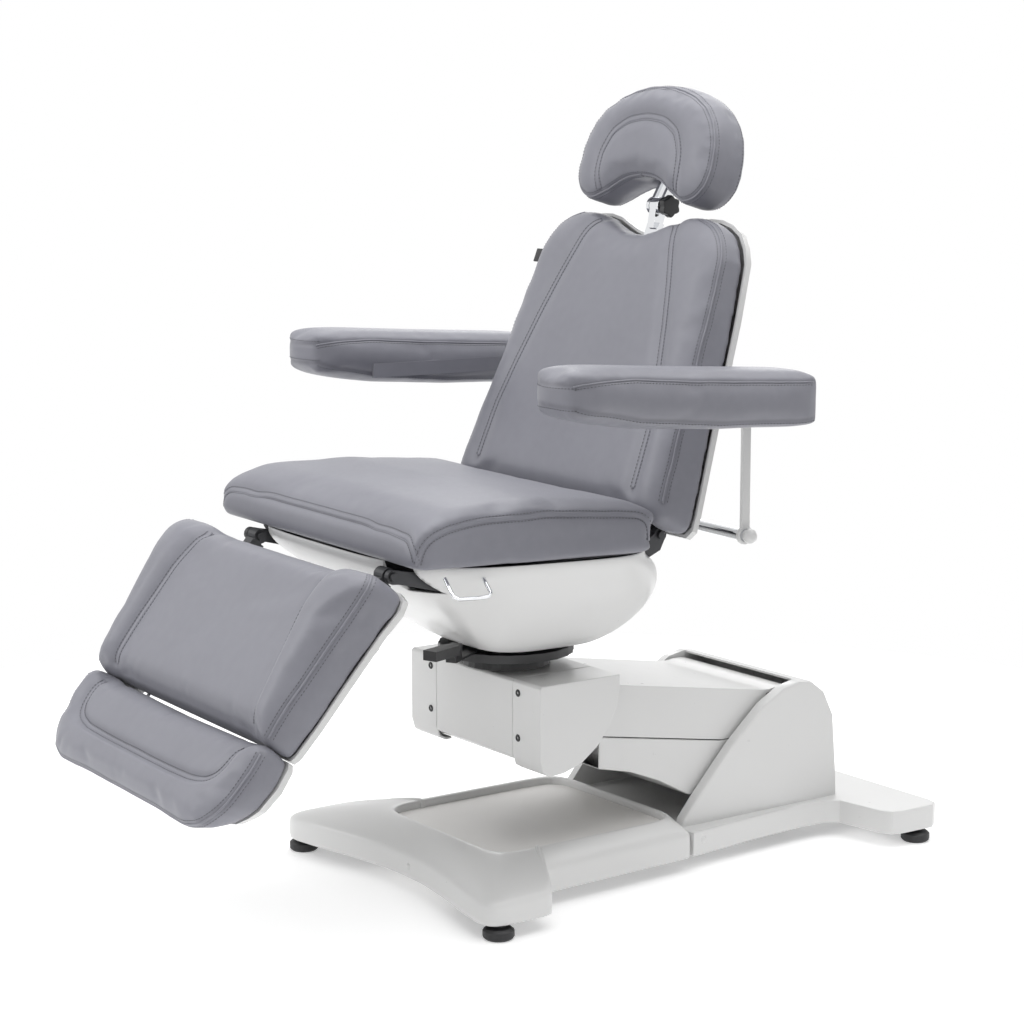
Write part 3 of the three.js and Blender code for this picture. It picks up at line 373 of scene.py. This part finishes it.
steel = Finish("powder_coated_steel", Metallic=0.4)
steel.shades(steel.noise(20), (0.045, 0.046, 0.05), (0.075, 0.076, 0.08))
steel.set(Roughness=steel.noise(90) * 0.15 + 0.4).bump(steel.noise(1400), 0.2, 0.0002)
paint(steel.material, "base_frame", "lift_axle", "level_link", "lift_arm_frame", "head_frame",
      "head_axle", "seat_frame", "back_frame", "leg_frame", "recline_pin_left", "recline_pin_right",
      "knee_pin_left", "knee_pin_right")

# ---------------------------------------------------------------- lift arm and head
# Two moulded covers hide the arm's steel cheeks, and the head is a box of two side covers and a
# bent centre panel. The machinery inside is painted black.
black = moulded("black_nylon", (0.012, 0.012, 0.013), (0.024, 0.024, 0.026), 0.42, 0.3)
softened("lift_arm_upper_cover", "lift_arm", "white_plastic", white.material, width=0.004)
softened("lift_arm_lower_cover", "lift_arm", "white_plastic", white.material, width=0.004)
for node in ("head_left_cover", "head_right_cover", "head_center_panel"):
    softened(node, "head", "white_plastic", white.material, width=0.005)
for hand, u in (("left", 125), ("right", -125)):
    for place, z in (("high", 333), ("low", 259)):
        turned(f"head_screw_{hand}_{place}", SOCKET_SCREW, base_at(u, -66.2, z),
               base_turn @ Vector((0, -1, 0)), "head", "black_plastic", black.material)
paint(black.material, "lift_actuator", "tilt_actuator", "back_actuator", "leg_actuator",
      "swivel_column", "vent_panel")

# ---------------------------------------------------------------- swivel
# A ribbed black plate turns on the column, under a tilt bracket, with a flat lock lever.
softened("seat_turret", "turret", "black_plastic", black.material, width=0.0008)
softened("swivel_lock_lever", "lock_lever", "black_plastic", black.material, width=0.002)

# ---------------------------------------------------------------- seat shroud
# The seat's frame and motors sit in a boat-shaped ABS hull, open on top under the cushion.


def hull_ring(z, low, high, half, count=40, power=3.6):
    """A rounded ring of the hull from low to high along Y, at one height or one for each y."""
    ring = []
    for k in range(count):
        angle = (k + 0.5) * 2 * math.pi / count
        cos, sin = math.cos(angle), math.sin(angle)
        x = math.copysign(abs(cos) ** (2 / power), cos) * half
        y = (low + high) / 2 + math.copysign(abs(sin) ** (2 / power), sin) * (high - low) / 2
        ring.append((x * MM, y * MM + seat_line[1], (z(y) if callable(z) else z) * MM))
    return ring


EDGE_REAR, EDGE_LENGTH = 124, 481
EDGE_HEIGHT, EDGE_RISE = 573, 14


def seat_edge(y):
    """The height of the hull's top edge, which rises a little towards the knees."""
    return EDGE_HEIGHT + EDGE_RISE * (EDGE_REAR - y) / EDGE_LENGTH


shroud = loft("seat_shroud_moulding", [
    hull_ring(seat_edge, -352, 134, 322), hull_ring(lambda y: seat_edge(y) - 14, -352, 134, 320),
    hull_ring(545, -330, 172, 296), hull_ring(500, -262, 194, 262), hull_ring(450, -180, 186, 205),
    hull_ring(412, -118, 152, 155), hull_ring(394, -92, 122, 120),
], white.material)
modifier(shroud, "SOLIDIFY", thickness=0.004, offset=-1)
rounded(shroud)
fixed(shroud)


def cut_away(obj, corners):
    """Cuts a box out of a piece."""
    low, high = (Vector(c) * MM for c in corners)
    bm = bmesh.new()
    bmesh.ops.create_cube(bm, size=1)
    for vert in bm.verts:
        vert.co = [low[i] + (vert.co[i] + 0.5) * (high[i] - low[i]) for i in range(3)]
        vert.co.y += seat_line[1]
    mesh = bpy.data.meshes.new("cutter")
    bm.to_mesh(mesh)
    bm.free()
    cutter = bpy.data.objects.new("cutter", mesh)
    scene.collection.objects.link(cutter)
    modifier(obj, "BOOLEAN", object=cutter, operation="DIFFERENCE", solver="EXACT")
    fixed(obj)
    bpy.data.objects.remove(cutter)


VENT_HOLE = ((-86, 130, 452), (86, 240, 506))
KNEE_NOTCH_NEAR, KNEE_NOTCH_FAR = 188, 244
cut_away(shroud, VENT_HOLE)
for side in (-1, 1):
    low_x, high_x = sorted((side * KNEE_NOTCH_NEAR, side * KNEE_NOTCH_FAR))
    cut_away(shroud, ((low_x, -380, 536), (high_x, -246, 600)))
finished(shroud, "seat", "white_plastic", "seat_shroud")

chrome = Finish("chrome_plate", Metallic=1.0)
chrome.shades(chrome.noise(8), (0.74, 0.75, 0.77), (0.82, 0.83, 0.85))
chrome.set(Roughness=chrome.noise(40, 3) * 0.1 + 0.04).bump(chrome.noise(300), 0.02, 0.0002)
softened("wire_hook", "seat", "chrome", chrome.material, width=0.0004, angle=60)

# ---------------------------------------------------------------- seat cushion
# Foam on a board, in soft grey synthetic leather, closed by stitched seams along its sides and
# its front edge.
leather = Finish("grey_leather", Sheen_Weight=0.08, Sheen_Roughness=0.4)
# Painted shade: the leather's colour is darkened along its pressed seams by the seam mask that press()
# writes. The rest of the tone varies at random.
seam_near = leather.node("Attribute", output="Fac", attribute_name="seam_near")
tone_and_seam_shade = leather.noise(7, 2) * 0.22 + leather.noise(60, 2) * 0.16 - seam_near * 0.28 + 0.40
leather.shades(tone_and_seam_shade, (0.125, 0.125, 0.146), (0.295, 0.297, 0.338))
grain = leather.node("TexVoronoi", {"Vector": leather.place, "Scale": 780.0}, output="Distance")
leather.set(Roughness=leather.noise(120) * 0.12 + grain * 0.1 + 0.36)
leather.bump(grain * 0.7 + leather.noise(240, 3) * 0.5 + leather.noise(22, 2) * 0.6, 0.2, 0.0006)

thread = Finish("grey_thread", Roughness=0.6)
thread.shades(thread.noise(500), (0.05, 0.05, 0.06), (0.10, 0.10, 0.115))
thread.bump(thread.noise(2500), 0.4, 0.0002)


def blank(node, name, voxel):
    """A pad's foam before it is filled: its CAD solid as an even mesh."""
    mesh = frame["nodes"][node].data.copy()
    mesh.materials.clear()
    mesh.materials.append(leather.material)
    obj = bpy.data.objects.new(name, mesh)
    scene.collection.objects.link(obj)
    outward(obj, 2e-5)
    modifier(obj, "REMESH", mode="VOXEL", voxel_size=voxel, use_smooth_shade=True)
    return fixed(obj)


def corners(mesh, kind="co"):
    data = np.zeros(len(mesh.vertices) * 3, np.float32)
    mesh.vertices.foreach_get(kind, data)
    return data.reshape(-1, 3).astype(float)


def place_corners(mesh, points):
    mesh.vertices.foreach_set("co", points.astype(np.float32).ravel())
    mesh.update()


AIR_PRESSURE = 4
SWELL_FRAMES = 20
TAUT_GROWTH = 0.0042


def fill(obj, shrink, cap, free, pulled=9):
    """Swells a blank by air pressure, then pulls its cover taut. free is how far each point may move."""
    mesh = obj.data
    room = free(corners(mesh))[:, None]
    place_corners(mesh, corners(mesh) - corners(mesh, "normal") * shrink * room)
    start = corners(mesh)
    cloth = modifier(obj, "CLOTH")
    cloth.settings.use_pressure = True
    cloth.settings.uniform_pressure_force = AIR_PRESSURE
    cloth.settings.effector_weights.gravity = 0
    for step in range(1, SWELL_FRAMES + 1):
        scene.frame_set(step)
    shape = obj.evaluated_get(bpy.context.evaluated_depsgraph_get())
    swollen = corners(shape.data)
    obj.modifiers.clear()
    scene.frame_set(1)
    move = swollen - start
    far = np.linalg.norm(move, axis=1, keepdims=True) + 1e-9
    place_corners(mesh, start + move / far * cap * np.tanh(far / cap) * room)
    modifier(obj, "SMOOTH", factor=0.5, iterations=pulled)
    rounded(obj, 1)
    fixed(obj)
    taut = corners(obj.data)
    plump = TAUT_GROWTH * free(taut)[:, None]
    place_corners(obj.data, taut + corners(obj.data, "normal") * plump)
    return obj


def step_up(value, low, high):
    """Goes smoothly from 0 at low to 1 at high."""
    t = np.clip((value - low) / (high - low), 0, 1)
    return t * t * (3 - 2 * t)


def eased(rows, passes):
    """Evens out rows of numbers along a line, and keeps its two ends."""
    for _ in range(passes):
        rows[1:-1] = (rows[:-2] + 2 * rows[1:-1] + rows[2:]) / 4
    return rows


def skin(obj):
    return BVHTree.FromObject(obj, bpy.context.evaluated_depsgraph_get())


SEAM_STEP = 0.002
CAST_FROM, CAST_DEPTH = 0.03, 0.07


def laid(surface, path):
    """A seam's line, laid on the pad at even steps: its places, ways and outward directions."""
    line = np.array([tuple(p) for p in path], float)
    run = np.concatenate([[0], np.cumsum(np.linalg.norm(np.diff(line, axis=0), axis=1))])
    at = np.arange(0, run[-1], SEAM_STEP)
    line = eased(np.stack([np.interp(at, run, line[:, i]) for i in range(3)], axis=1), 30)
    outs = np.array([surface.find_nearest(Vector(p))[1] for p in line], float)
    outs = eased(outs, 160)
    outs /= np.linalg.norm(outs, axis=1, keepdims=True) + 1e-9
    places = []
    for point, out in zip(line, outs):
        hit = surface.ray_cast(Vector(point + out * CAST_FROM), Vector(-out), CAST_DEPTH)[0]
        places.append(hit or surface.find_nearest(Vector(point))[0])
    places = eased(np.array(places, float), 14)
    ways = np.gradient(places, axis=0)
    ways /= np.linalg.norm(ways, axis=1, keepdims=True) + 1e-9
    return places, ways, outs


# The width of the painted shade that darkens the leather along each seam.
SEAM_SHADE = 0.0035


def press(obj, paths, depth, width):
    """Presses seams into a pad, and marks each point's closeness to one, as the mask of the painted shade
    along the seams.
    """
    mesh = obj.data
    surface = skin(obj)
    lines = [laid(surface, path)[0] for path in paths]
    seam_points = np.concatenate(lines)
    tree = KDTree(len(seam_points))
    for i, point in enumerate(seam_points):
        tree.insert(point, i)
    tree.balance()
    points = corners(mesh)
    gap = np.array([tree.find(p)[2] for p in points])
    dip = depth * np.exp(-((gap / width) ** 2))
    place_corners(mesh, points - corners(mesh, "normal") * dip[:, None])
    # Painted shade: a mask along the seams, by which the leather's colour is darkened in their grooves.
    shade_layer = mesh.attributes.get("seam_near") or mesh.attributes.new("seam_near", "FLOAT", "POINT")
    before = np.zeros(len(points), np.float32)
    shade_layer.data.foreach_get("value", before)
    painted_shade = np.maximum(before, np.exp(-((gap / SEAM_SHADE) ** 2)))
    shade_layer.data.foreach_set("value", painted_shade.astype(np.float32))


# One stitch as a small hump of thread: places along it, across it and above the leather.
STITCH = [(-1.0, 0, 0.25), (-0.5, 0.35, 0.6), (-0.5, -0.35, 0.6), (0, 0.4, 0.9), (0, -0.4, 0.9),
          (0.5, 0.35, 0.6), (0.5, -0.35, 0.6), (1.0, 0, 0.25), (-0.5, 0, 1.05), (0.5, 0, 1.05),
          (0, 0, -0.3)]
STITCH_FACES = [(0, 2, 8), (0, 8, 1), (2, 4, 8), (4, 9, 8), (1, 8, 3), (8, 9, 3), (4, 6, 9), (3, 9, 5),
                (6, 7, 9), (9, 7, 5), (0, 1, 10), (1, 3, 10), (3, 5, 10), (5, 7, 10), (7, 6, 10),
                (6, 4, 10), (4, 2, 10), (2, 0, 10)]
STITCH_LENGTH, STITCH_PITCH = 0.0042, 0.0062
THREAD_THICK, THREAD_SINK = 0.0011, 0.0002


def stitched(name, obj, body, rows):
    """Rows of thread beside seams. Each row is a path and its distance from the seam."""
    points, faces = [], []
    surface = skin(obj)
    for path, aside in rows:
        places, ways, normals = laid(surface, path)
        every = max(1, round(STITCH_PITCH / SEAM_STEP))
        for place, way, normal in list(zip(places, ways, normals))[2:-2:every]:
            across = np.cross(way, normal)
            spot, up, _, _ = surface.find_nearest(Vector(place + across * aside))
            up = np.array(up)
            across = np.cross(way, up)
            first = len(points)
            for along, sideways, high in STITCH:
                points.append(np.array(spot) + way * along * STITCH_LENGTH / 2
                              + across * sideways * THREAD_THICK
                              + up * (high * THREAD_THICK - THREAD_SINK))
            faces += [tuple(first + i for i in face) for face in STITCH_FACES]
    made = new_piece(name, points, faces, thread.material)
    return finished(made, body, "leather")


WELT_SIDES = 8


def welt(name, obj, body, paths, half_width=0.0021, height=0.0021):
    """Piping, or the flat raised strip of a top-stitched seam, laid along seams of a pad."""
    points, faces = [], []
    surface = skin(obj)
    sides = WELT_SIDES
    for path in paths:
        places, ways, normals = laid(surface, path)
        first = len(points)
        places, ways, normals = places[::2], ways[::2], normals[::2]
        for place, way, normal in zip(places, ways, normals):
            across = np.cross(way, normal)
            for k in range(sides):
                angle = 2 * math.pi * k / sides
                points.append(place + normal * (0.1 + math.sin(angle)) * height
                              + across * math.cos(angle) * half_width)
        rows = len(places)
        faces += [
            (first + i * sides + k, first + i * sides + (k + 1) % sides,
             first + (i + 1) * sides + (k + 1) % sides, first + (i + 1) * sides + k)
            for i in range(rows - 1) for k in range(sides)
        ]
        faces.append(tuple(first + k for k in range(sides))[::-1])
        faces.append(tuple(first + (rows - 1) * sides + k for k in range(sides)))
    made = new_piece(name, points, faces, leather.material)
    outward(made)
    return finished(made, body, "leather")


def top_stitched(name, obj, body, paths, aside=0.0058):
    """A seam with a flat raised strip and a row of thread along either side of it."""
    welt(f"{name}_strip", obj, body, paths, 0.0040, 0.0011)
    stitched(f"{name}_thread", obj, body, [(path, way * aside) for path in paths for way in (-1, 1)])


def on_seat(x, y, z):
    return Vector((x * MM, y * MM + seat_line[1], z * MM))


def seat_free(points):
    return step_up(points[:, 2], 0.583, 0.612)


seat_pad = fill(blank("seat_cushion", "seat_upholstery", voxel=0.0075),
                shrink=0.003, cap=0.012, free=seat_free, pulled=10)
seat_arch = [(-360, 598), (-354, 618), (-338, 637), (-304, 650), (-232, 658), (-110, 658), (0, 652),
             (44, 641), (66, 622), (70, 600)]
front_arch = [(-320, 598), (-313, 620), (-292, 639), (-240, 649), (240, 649), (292, 639), (313, 620),
              (320, 598)]
seat_seams = [[on_seat(side * 329, y, z) for y, z in seat_arch] for side in (-1, 1)]
seat_seams.append([on_seat(x, -364, z) for x, z in front_arch])
press(seat_pad, seat_seams, depth=0.004, width=0.010)
finished(seat_pad, "seat", "leather", "seat_cushion")
top_stitched("seat_seam", seat_pad, "seat", seat_seams)

# ---------------------------------------------------------------- back
# A foam pad with two seams that spread towards the seat, in a white moulded shell. The edge of
# the pad's face is piped, and a plain black tab is sewn into it.
back_pin = Vector(joints["recline"]["pos_m"])
back_up = Vector(joints["headrest_slide"]["axis"])
back_out = Vector((0, -back_up.z, back_up.y))


def on_back(x, t, s):
    return Vector((x * MM, 0, 0)) + back_pin + back_up * (t * MM) + back_out * (s * MM)


def back_free(points):
    s = (points - np.array(back_pin)) @ np.array(back_out)
    return step_up(s, 0.022, 0.045)


back_pad = fill(blank("back_cushion", "back_upholstery", voxel=0.0075),
                shrink=0.003, cap=0.012, free=back_free)
back_seams = [
    [on_back(side * x, t, 84) for x, t in
     ((104, 508), (120, 480), (156, 390), (180, 319), (207, 224), (224, 152), (228, 92), (230, 50))]
    for side in (-1, 1)
]
back_edges = [
    [on_back(side * x, t, 74) for x, t in
     ((168, 514), (206, 504), (240, 480), (260, 448), (276, 358), (290, 198), (302, 93), (305, 45))]
    for side in (-1, 1)
]
press(back_pad, back_seams, depth=0.0065, width=0.017)
press(back_pad, back_edges, depth=0.0015, width=0.004)
finished(back_pad, "back", "leather", "back_cushion")
top_stitched("back_inner_seam", back_pad, "back", back_seams)
welt("back_piping", back_pad, "back", back_edges)
EDGE_ASIDE = 0.007
stitched("back_edge_thread", back_pad, "back",
         [(path, way * EDGE_ASIDE) for path in back_edges for way in (-1, 1)])
tab_points = [on_back(x, t, s) for x in (-287, -260) for t in (414, 438) for s in (60, 63)]
tab = new_piece("side_tab", tab_points,
                [(0, 1, 3, 2), (4, 6, 7, 5), (0, 4, 5, 1), (2, 3, 7, 6), (0, 2, 6, 4), (1, 5, 7, 3)],
                rubber.material)
outward(tab)
modifier(tab, "BEVEL", width=0.001, segments=2)
finished(tab, "back", "rubber_foot")
softened("back_shell", "back", "white_plastic", white.material, width=0.004, angle=40)

# ---------------------------------------------------------------- headrest
# A horseshoe pad on a jointed chrome bracket. Its front edge is piped and its face carries a
# double-stitched arch.
HEAD_LEAN = 15
head_lean = math.radians(HEAD_LEAN)
head_up = Vector((0, math.sin(head_lean), math.cos(head_lean)))
head_back = Vector((0, math.cos(head_lean), -math.sin(head_lean)))
head_face = Vector((0, 262 * MM + seat_line[1], 1150 * MM))


def on_head(x, h, d):
    return Vector((x * MM, 0, 0)) + head_face + head_up * (h * MM) + head_back * (d * MM)


def head_free(points):
    d = (points - np.array(head_face)) @ np.array(head_back)
    return 1 - step_up(d, 0.050, 0.070)


head_pad = fill(blank("headrest_cushion", "headrest_upholstery", voxel=0.005),
                shrink=0.002, cap=0.010, free=head_free)
arch = [on_head(x, h, 0) for x, h in
        ((-106, -30), (-114, 0), (-110, 38), (-90, 72), (-50, 92), (0, 98), (50, 92), (90, 72), (110, 38),
         (114, 0), (106, -30))]
head_half = [(0, -6), (50, -12), (92, -30), (128, -42), (158, -37), (182, -16), (190, 12), (185, 58),
             (168, 92), (140, 120), (94, 144), (48, 155), (0, 158)]
head_loop = both_sides(head_half)
head_loop.append(head_loop[0])
HEAD_MIDDLE, FRONT_SHARE = 58, 0.985
front_edge = [
    on_head(x * FRONT_SHARE, HEAD_MIDDLE + (h - HEAD_MIDDLE) * FRONT_SHARE, 6) for x, h in head_loop
]
rear_edge = [on_head(x, h, 62) for x, h in head_loop]
press(head_pad, [arch], depth=0.005, width=0.014)
press(head_pad, [front_edge], depth=0.001, width=0.0035)
finished(head_pad, "headrest", "leather", "headrest_cushion")
top_stitched("headrest_arch", head_pad, "headrest", [arch], 0.0064)
welt("headrest_piping", head_pad, "headrest", [front_edge])
stitched("headrest_edge_thread", head_pad, "headrest",
         [(front_edge, EDGE_ASIDE), (front_edge, -EDGE_ASIDE), (rear_edge, 0.003)])
softened("headrest_post", "headrest_post", "chrome", chrome.material, width=0.0015)
softened("headrest_link", "headrest_link", "chrome", chrome.material, width=0.0012)
softened("headrest_plate", "headrest", "chrome", chrome.material, width=0.001)
softened("knuckle_knob", "knuckle_knob", "black_plastic", black.material, width=0.001)
softened("clamp_knob", "clamp_knob", "chrome", chrome.material, width=0.001)

# ---------------------------------------------------------------- arms
# Each armrest is a padded block on a steel bracket. It folds up about a chrome hub, and the
# hanger bars and their cross bar hang plumb between the hubs.
paint(leather.material, "armrest_bracket_left", "armrest_bracket_right")
for hand, side in (("left", 1), ("right", -1)):
    pad_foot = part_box(f"armrest_pad_{hand}")[0].z

    def arm_free(points, low=pad_foot):
        return 0.4 + 0.6 * step_up(points[:, 2], low, low + 0.03)

    pad = fill(blank(f"armrest_pad_{hand}", f"armrest_upholstery_{hand}", voxel=0.005),
               shrink=0.003, cap=0.007, free=arm_free)
    top = [(-172, 862), (-60, 868), (49, 858), (160, 851), (284, 843)]
    under = [(-168, 829), (-44, 804), (99, 791), (251, 785), (288, 787)]
    nose = [(336, -160), (342, -170), (366, -178), (390, -181), (414, -178), (438, -170), (444, -160)]
    seams = []
    for line in (top, under):
        for edge in (336, 444):
            seams.append([on_seat(side * edge, y, z) for y, z in line])
        nose_z = line[0][1]
        seams.append([on_seat(side * x, y, nose_z) for x, y in nose])
    press(pad, seams, depth=0.0012, width=0.004)
    finished(pad, f"armrest_{hand}", "leather", f"armrest_pad_{hand}")
    welt(f"armrest_piping_{hand}", pad, f"armrest_{hand}", seams[:2], 0.0016, 0.0014)
    stitched(f"armrest_thread_{hand}", pad, f"armrest_{hand}", [(path, 0.005) for path in seams])
    softened(f"arm_hub_{hand}", "arm_frame", "chrome", chrome.material, width=0.001)
    softened(f"hanger_bar_{hand}", "arm_frame", "white_plastic", white.material, width=0.002)
softened("cross_bar", "arm_frame", "chrome", chrome.material, width=0.001)
BAR_CAP = [(0, 10), (5, 9.2), (9, 6.6), (11.6, 2.4), (12, -2), (10.6, -6), (0, -6)]
BAR_CAP_X = 337
bar_low, bar_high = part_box("cross_bar")
for hand, side in (("left", 1), ("right", -1)):
    place = Vector((side * BAR_CAP_X * MM, (bar_low.y + bar_high.y) / 2, (bar_low.z + bar_high.z) / 2))
    turned(f"bar_cap_{hand}", BAR_CAP, place, (side, 0, 0), "arm_frame", "white_plastic", white.material)

# ---------------------------------------------------------------- leg rest
# A pad with a sunken middle between two soft bolsters, in a thin white shell, on hinges under
# the front of the seat, with a pull handle beneath.
knee_pin = Vector(joints["leg_raise"]["pos_m"])
leg_down = Vector(joints["foot_slide"]["axis"])
leg_out = Vector((0, leg_down.z, -leg_down.y))


def on_leg(x, t, s):
    return Vector((x * MM, 0, 0)) + knee_pin + leg_down * (t * MM) + leg_out * (s * MM)


def leg_free(points):
    s = (points - np.array(knee_pin)) @ np.array(leg_out)
    return step_up(s, 0.018, 0.045)


def lines_of_leg(points):
    """Each point's place across the leg rest, down it and out of it."""
    away = points - np.array(knee_pin)
    return np.abs(away[:, 0]), away @ np.array(leg_down), away @ np.array(leg_out)


leg_pad = fill(blank("leg_cushion", "leg_upholstery", voxel=0.006), shrink=0.002, cap=0.012, free=leg_free)
SEAM_HALF_AT_KNEE, SEAM_SPREAD = 0.205, 0.115
LEG_SUNK, BOLSTER_RISE = 0.014, 0.004
BOLSTER_CREST, BOLSTER_WIDTH = 0.046, 0.028
points = corners(leg_pad.data)
across, down, out = lines_of_leg(points)
edge = SEAM_HALF_AT_KNEE + down * SEAM_SPREAD
face = step_up(out, 0.04, 0.07)
middle = 1 - step_up(across, edge - 0.006, edge + 0.030)
bolster = np.exp(-(((across - edge - BOLSTER_CREST) / BOLSTER_WIDTH) ** 2))
lift = (bolster * BOLSTER_RISE - middle * LEG_SUNK) * face
place_corners(leg_pad.data, points + lift[:, None] * np.array(leg_out))
leg_seams = [
    [on_leg(side * x, t, 78) for x, t in ((206, 34), (214, 75), (224, 146), (234, 220), (241, 312))]
    for side in (-1, 1)
]
leg_edges = [
    [on_leg(side * x, t, s) for x, t, s in
     ((298, 26, 70), (318, 50, 74), (319, 92, 74), (314, 182, 74), (310, 256, 74), (302, 314, 66))]
    for side in (-1, 1)
]
press(leg_pad, leg_seams, depth=0.003, width=0.008)
press(leg_pad, leg_edges, depth=0.001, width=0.0035)
finished(leg_pad, "leg", "leather", "leg_cushion")
top_stitched("leg_inner_seam", leg_pad, "leg", leg_seams)
welt("leg_piping", leg_pad, "leg", leg_edges)
stitched("leg_edge_thread", leg_pad, "leg",
         [(path, way * EDGE_ASIDE) for path in leg_edges for way in (-1, 1)])
softened("leg_shell", "leg", "white_plastic", white.material, width=0.004, angle=40)
softened("pull_handle", "leg", "chrome", chrome.material, width=0.0006, angle=60)

# ---------------------------------------------------------------- foot section
# The foot section pulls out on two chrome rails. A U-shaped bolster runs round a sunken panel.
foot_pad = fill(blank("foot_cushion", "foot_upholstery", voxel=0.005), shrink=0.002, cap=0.010, free=leg_free)
PANEL_HALF, PANEL_TOP, PANEL_LENGTH = 0.254, 0.30, 0.112
PANEL_POWER = 6
PANEL_SUNK = 0.011
points = corners(foot_pad.data)
across, down, out = lines_of_leg(points)
ring = ((across / PANEL_HALF) ** PANEL_POWER
        + (np.maximum(down - PANEL_TOP, 0) / PANEL_LENGTH) ** PANEL_POWER) ** (1 / PANEL_POWER)
middle = 1 - step_up(ring, 0.98, 1.12)
lift = -PANEL_SUNK * middle * step_up(out, 0.035, 0.06)
place_corners(foot_pad.data, points + lift[:, None] * np.array(leg_out))
foot_arch = [on_leg(x, t, 62) for x, t in
             ((-252, 326), (-252, 360), (-245, 388), (-224, 404), (-184, 411), (0, 412), (184, 411),
              (224, 404), (245, 388), (252, 360), (252, 326))]
foot_edge = [on_leg(x, t, 62) for x, t in
             ((-302, 330), (-307, 362), (-299, 418), (-286, 444), (-264, 467), (-230, 479), (0, 482),
              (230, 479), (264, 467), (286, 444), (299, 418), (307, 362), (302, 330))]
press(foot_pad, [foot_arch], depth=0.004, width=0.009)
press(foot_pad, [foot_edge], depth=0.001, width=0.0035)
finished(foot_pad, "foot", "leather", "foot_cushion")
top_stitched("foot_inner_seam", foot_pad, "foot", [foot_arch])
welt("foot_piping", foot_pad, "foot", [foot_edge])
stitched("foot_edge_thread", foot_pad, "foot", [(foot_edge, EDGE_ASIDE), (foot_edge, -EDGE_ASIDE)])
softened("foot_shell", "foot", "white_plastic", white.material, width=0.004, angle=40)
paint(chrome.material, "foot_rail_left", "foot_rail_right")

# ---------------------------------------------------------------- floor
# A round white sweep, painted matt and lit from within, that fades into the background.
FLOOR_RADIUS, FLOOR_SIDES = 1.9, 96
rim = []
for k in range(FLOOR_SIDES):
    angle = k * math.tau / FLOOR_SIDES
    rim.append((FLOOR_RADIUS * math.cos(angle), FLOOR_RADIUS * math.sin(angle), 0))
floor = new_piece("floor", rim, [tuple(range(FLOOR_SIDES))], None)
sweep = Finish("white_floor", Roughness=0.9, Emission_Color=(1, 1, 1, 1), Emission_Strength=0.36)
sweep.shades(sweep.noise(0.4), (0.93, 0.93, 0.93), (0.95, 0.95, 0.95))
floor.data.materials.clear()
floor.data.materials.append(sweep.material)
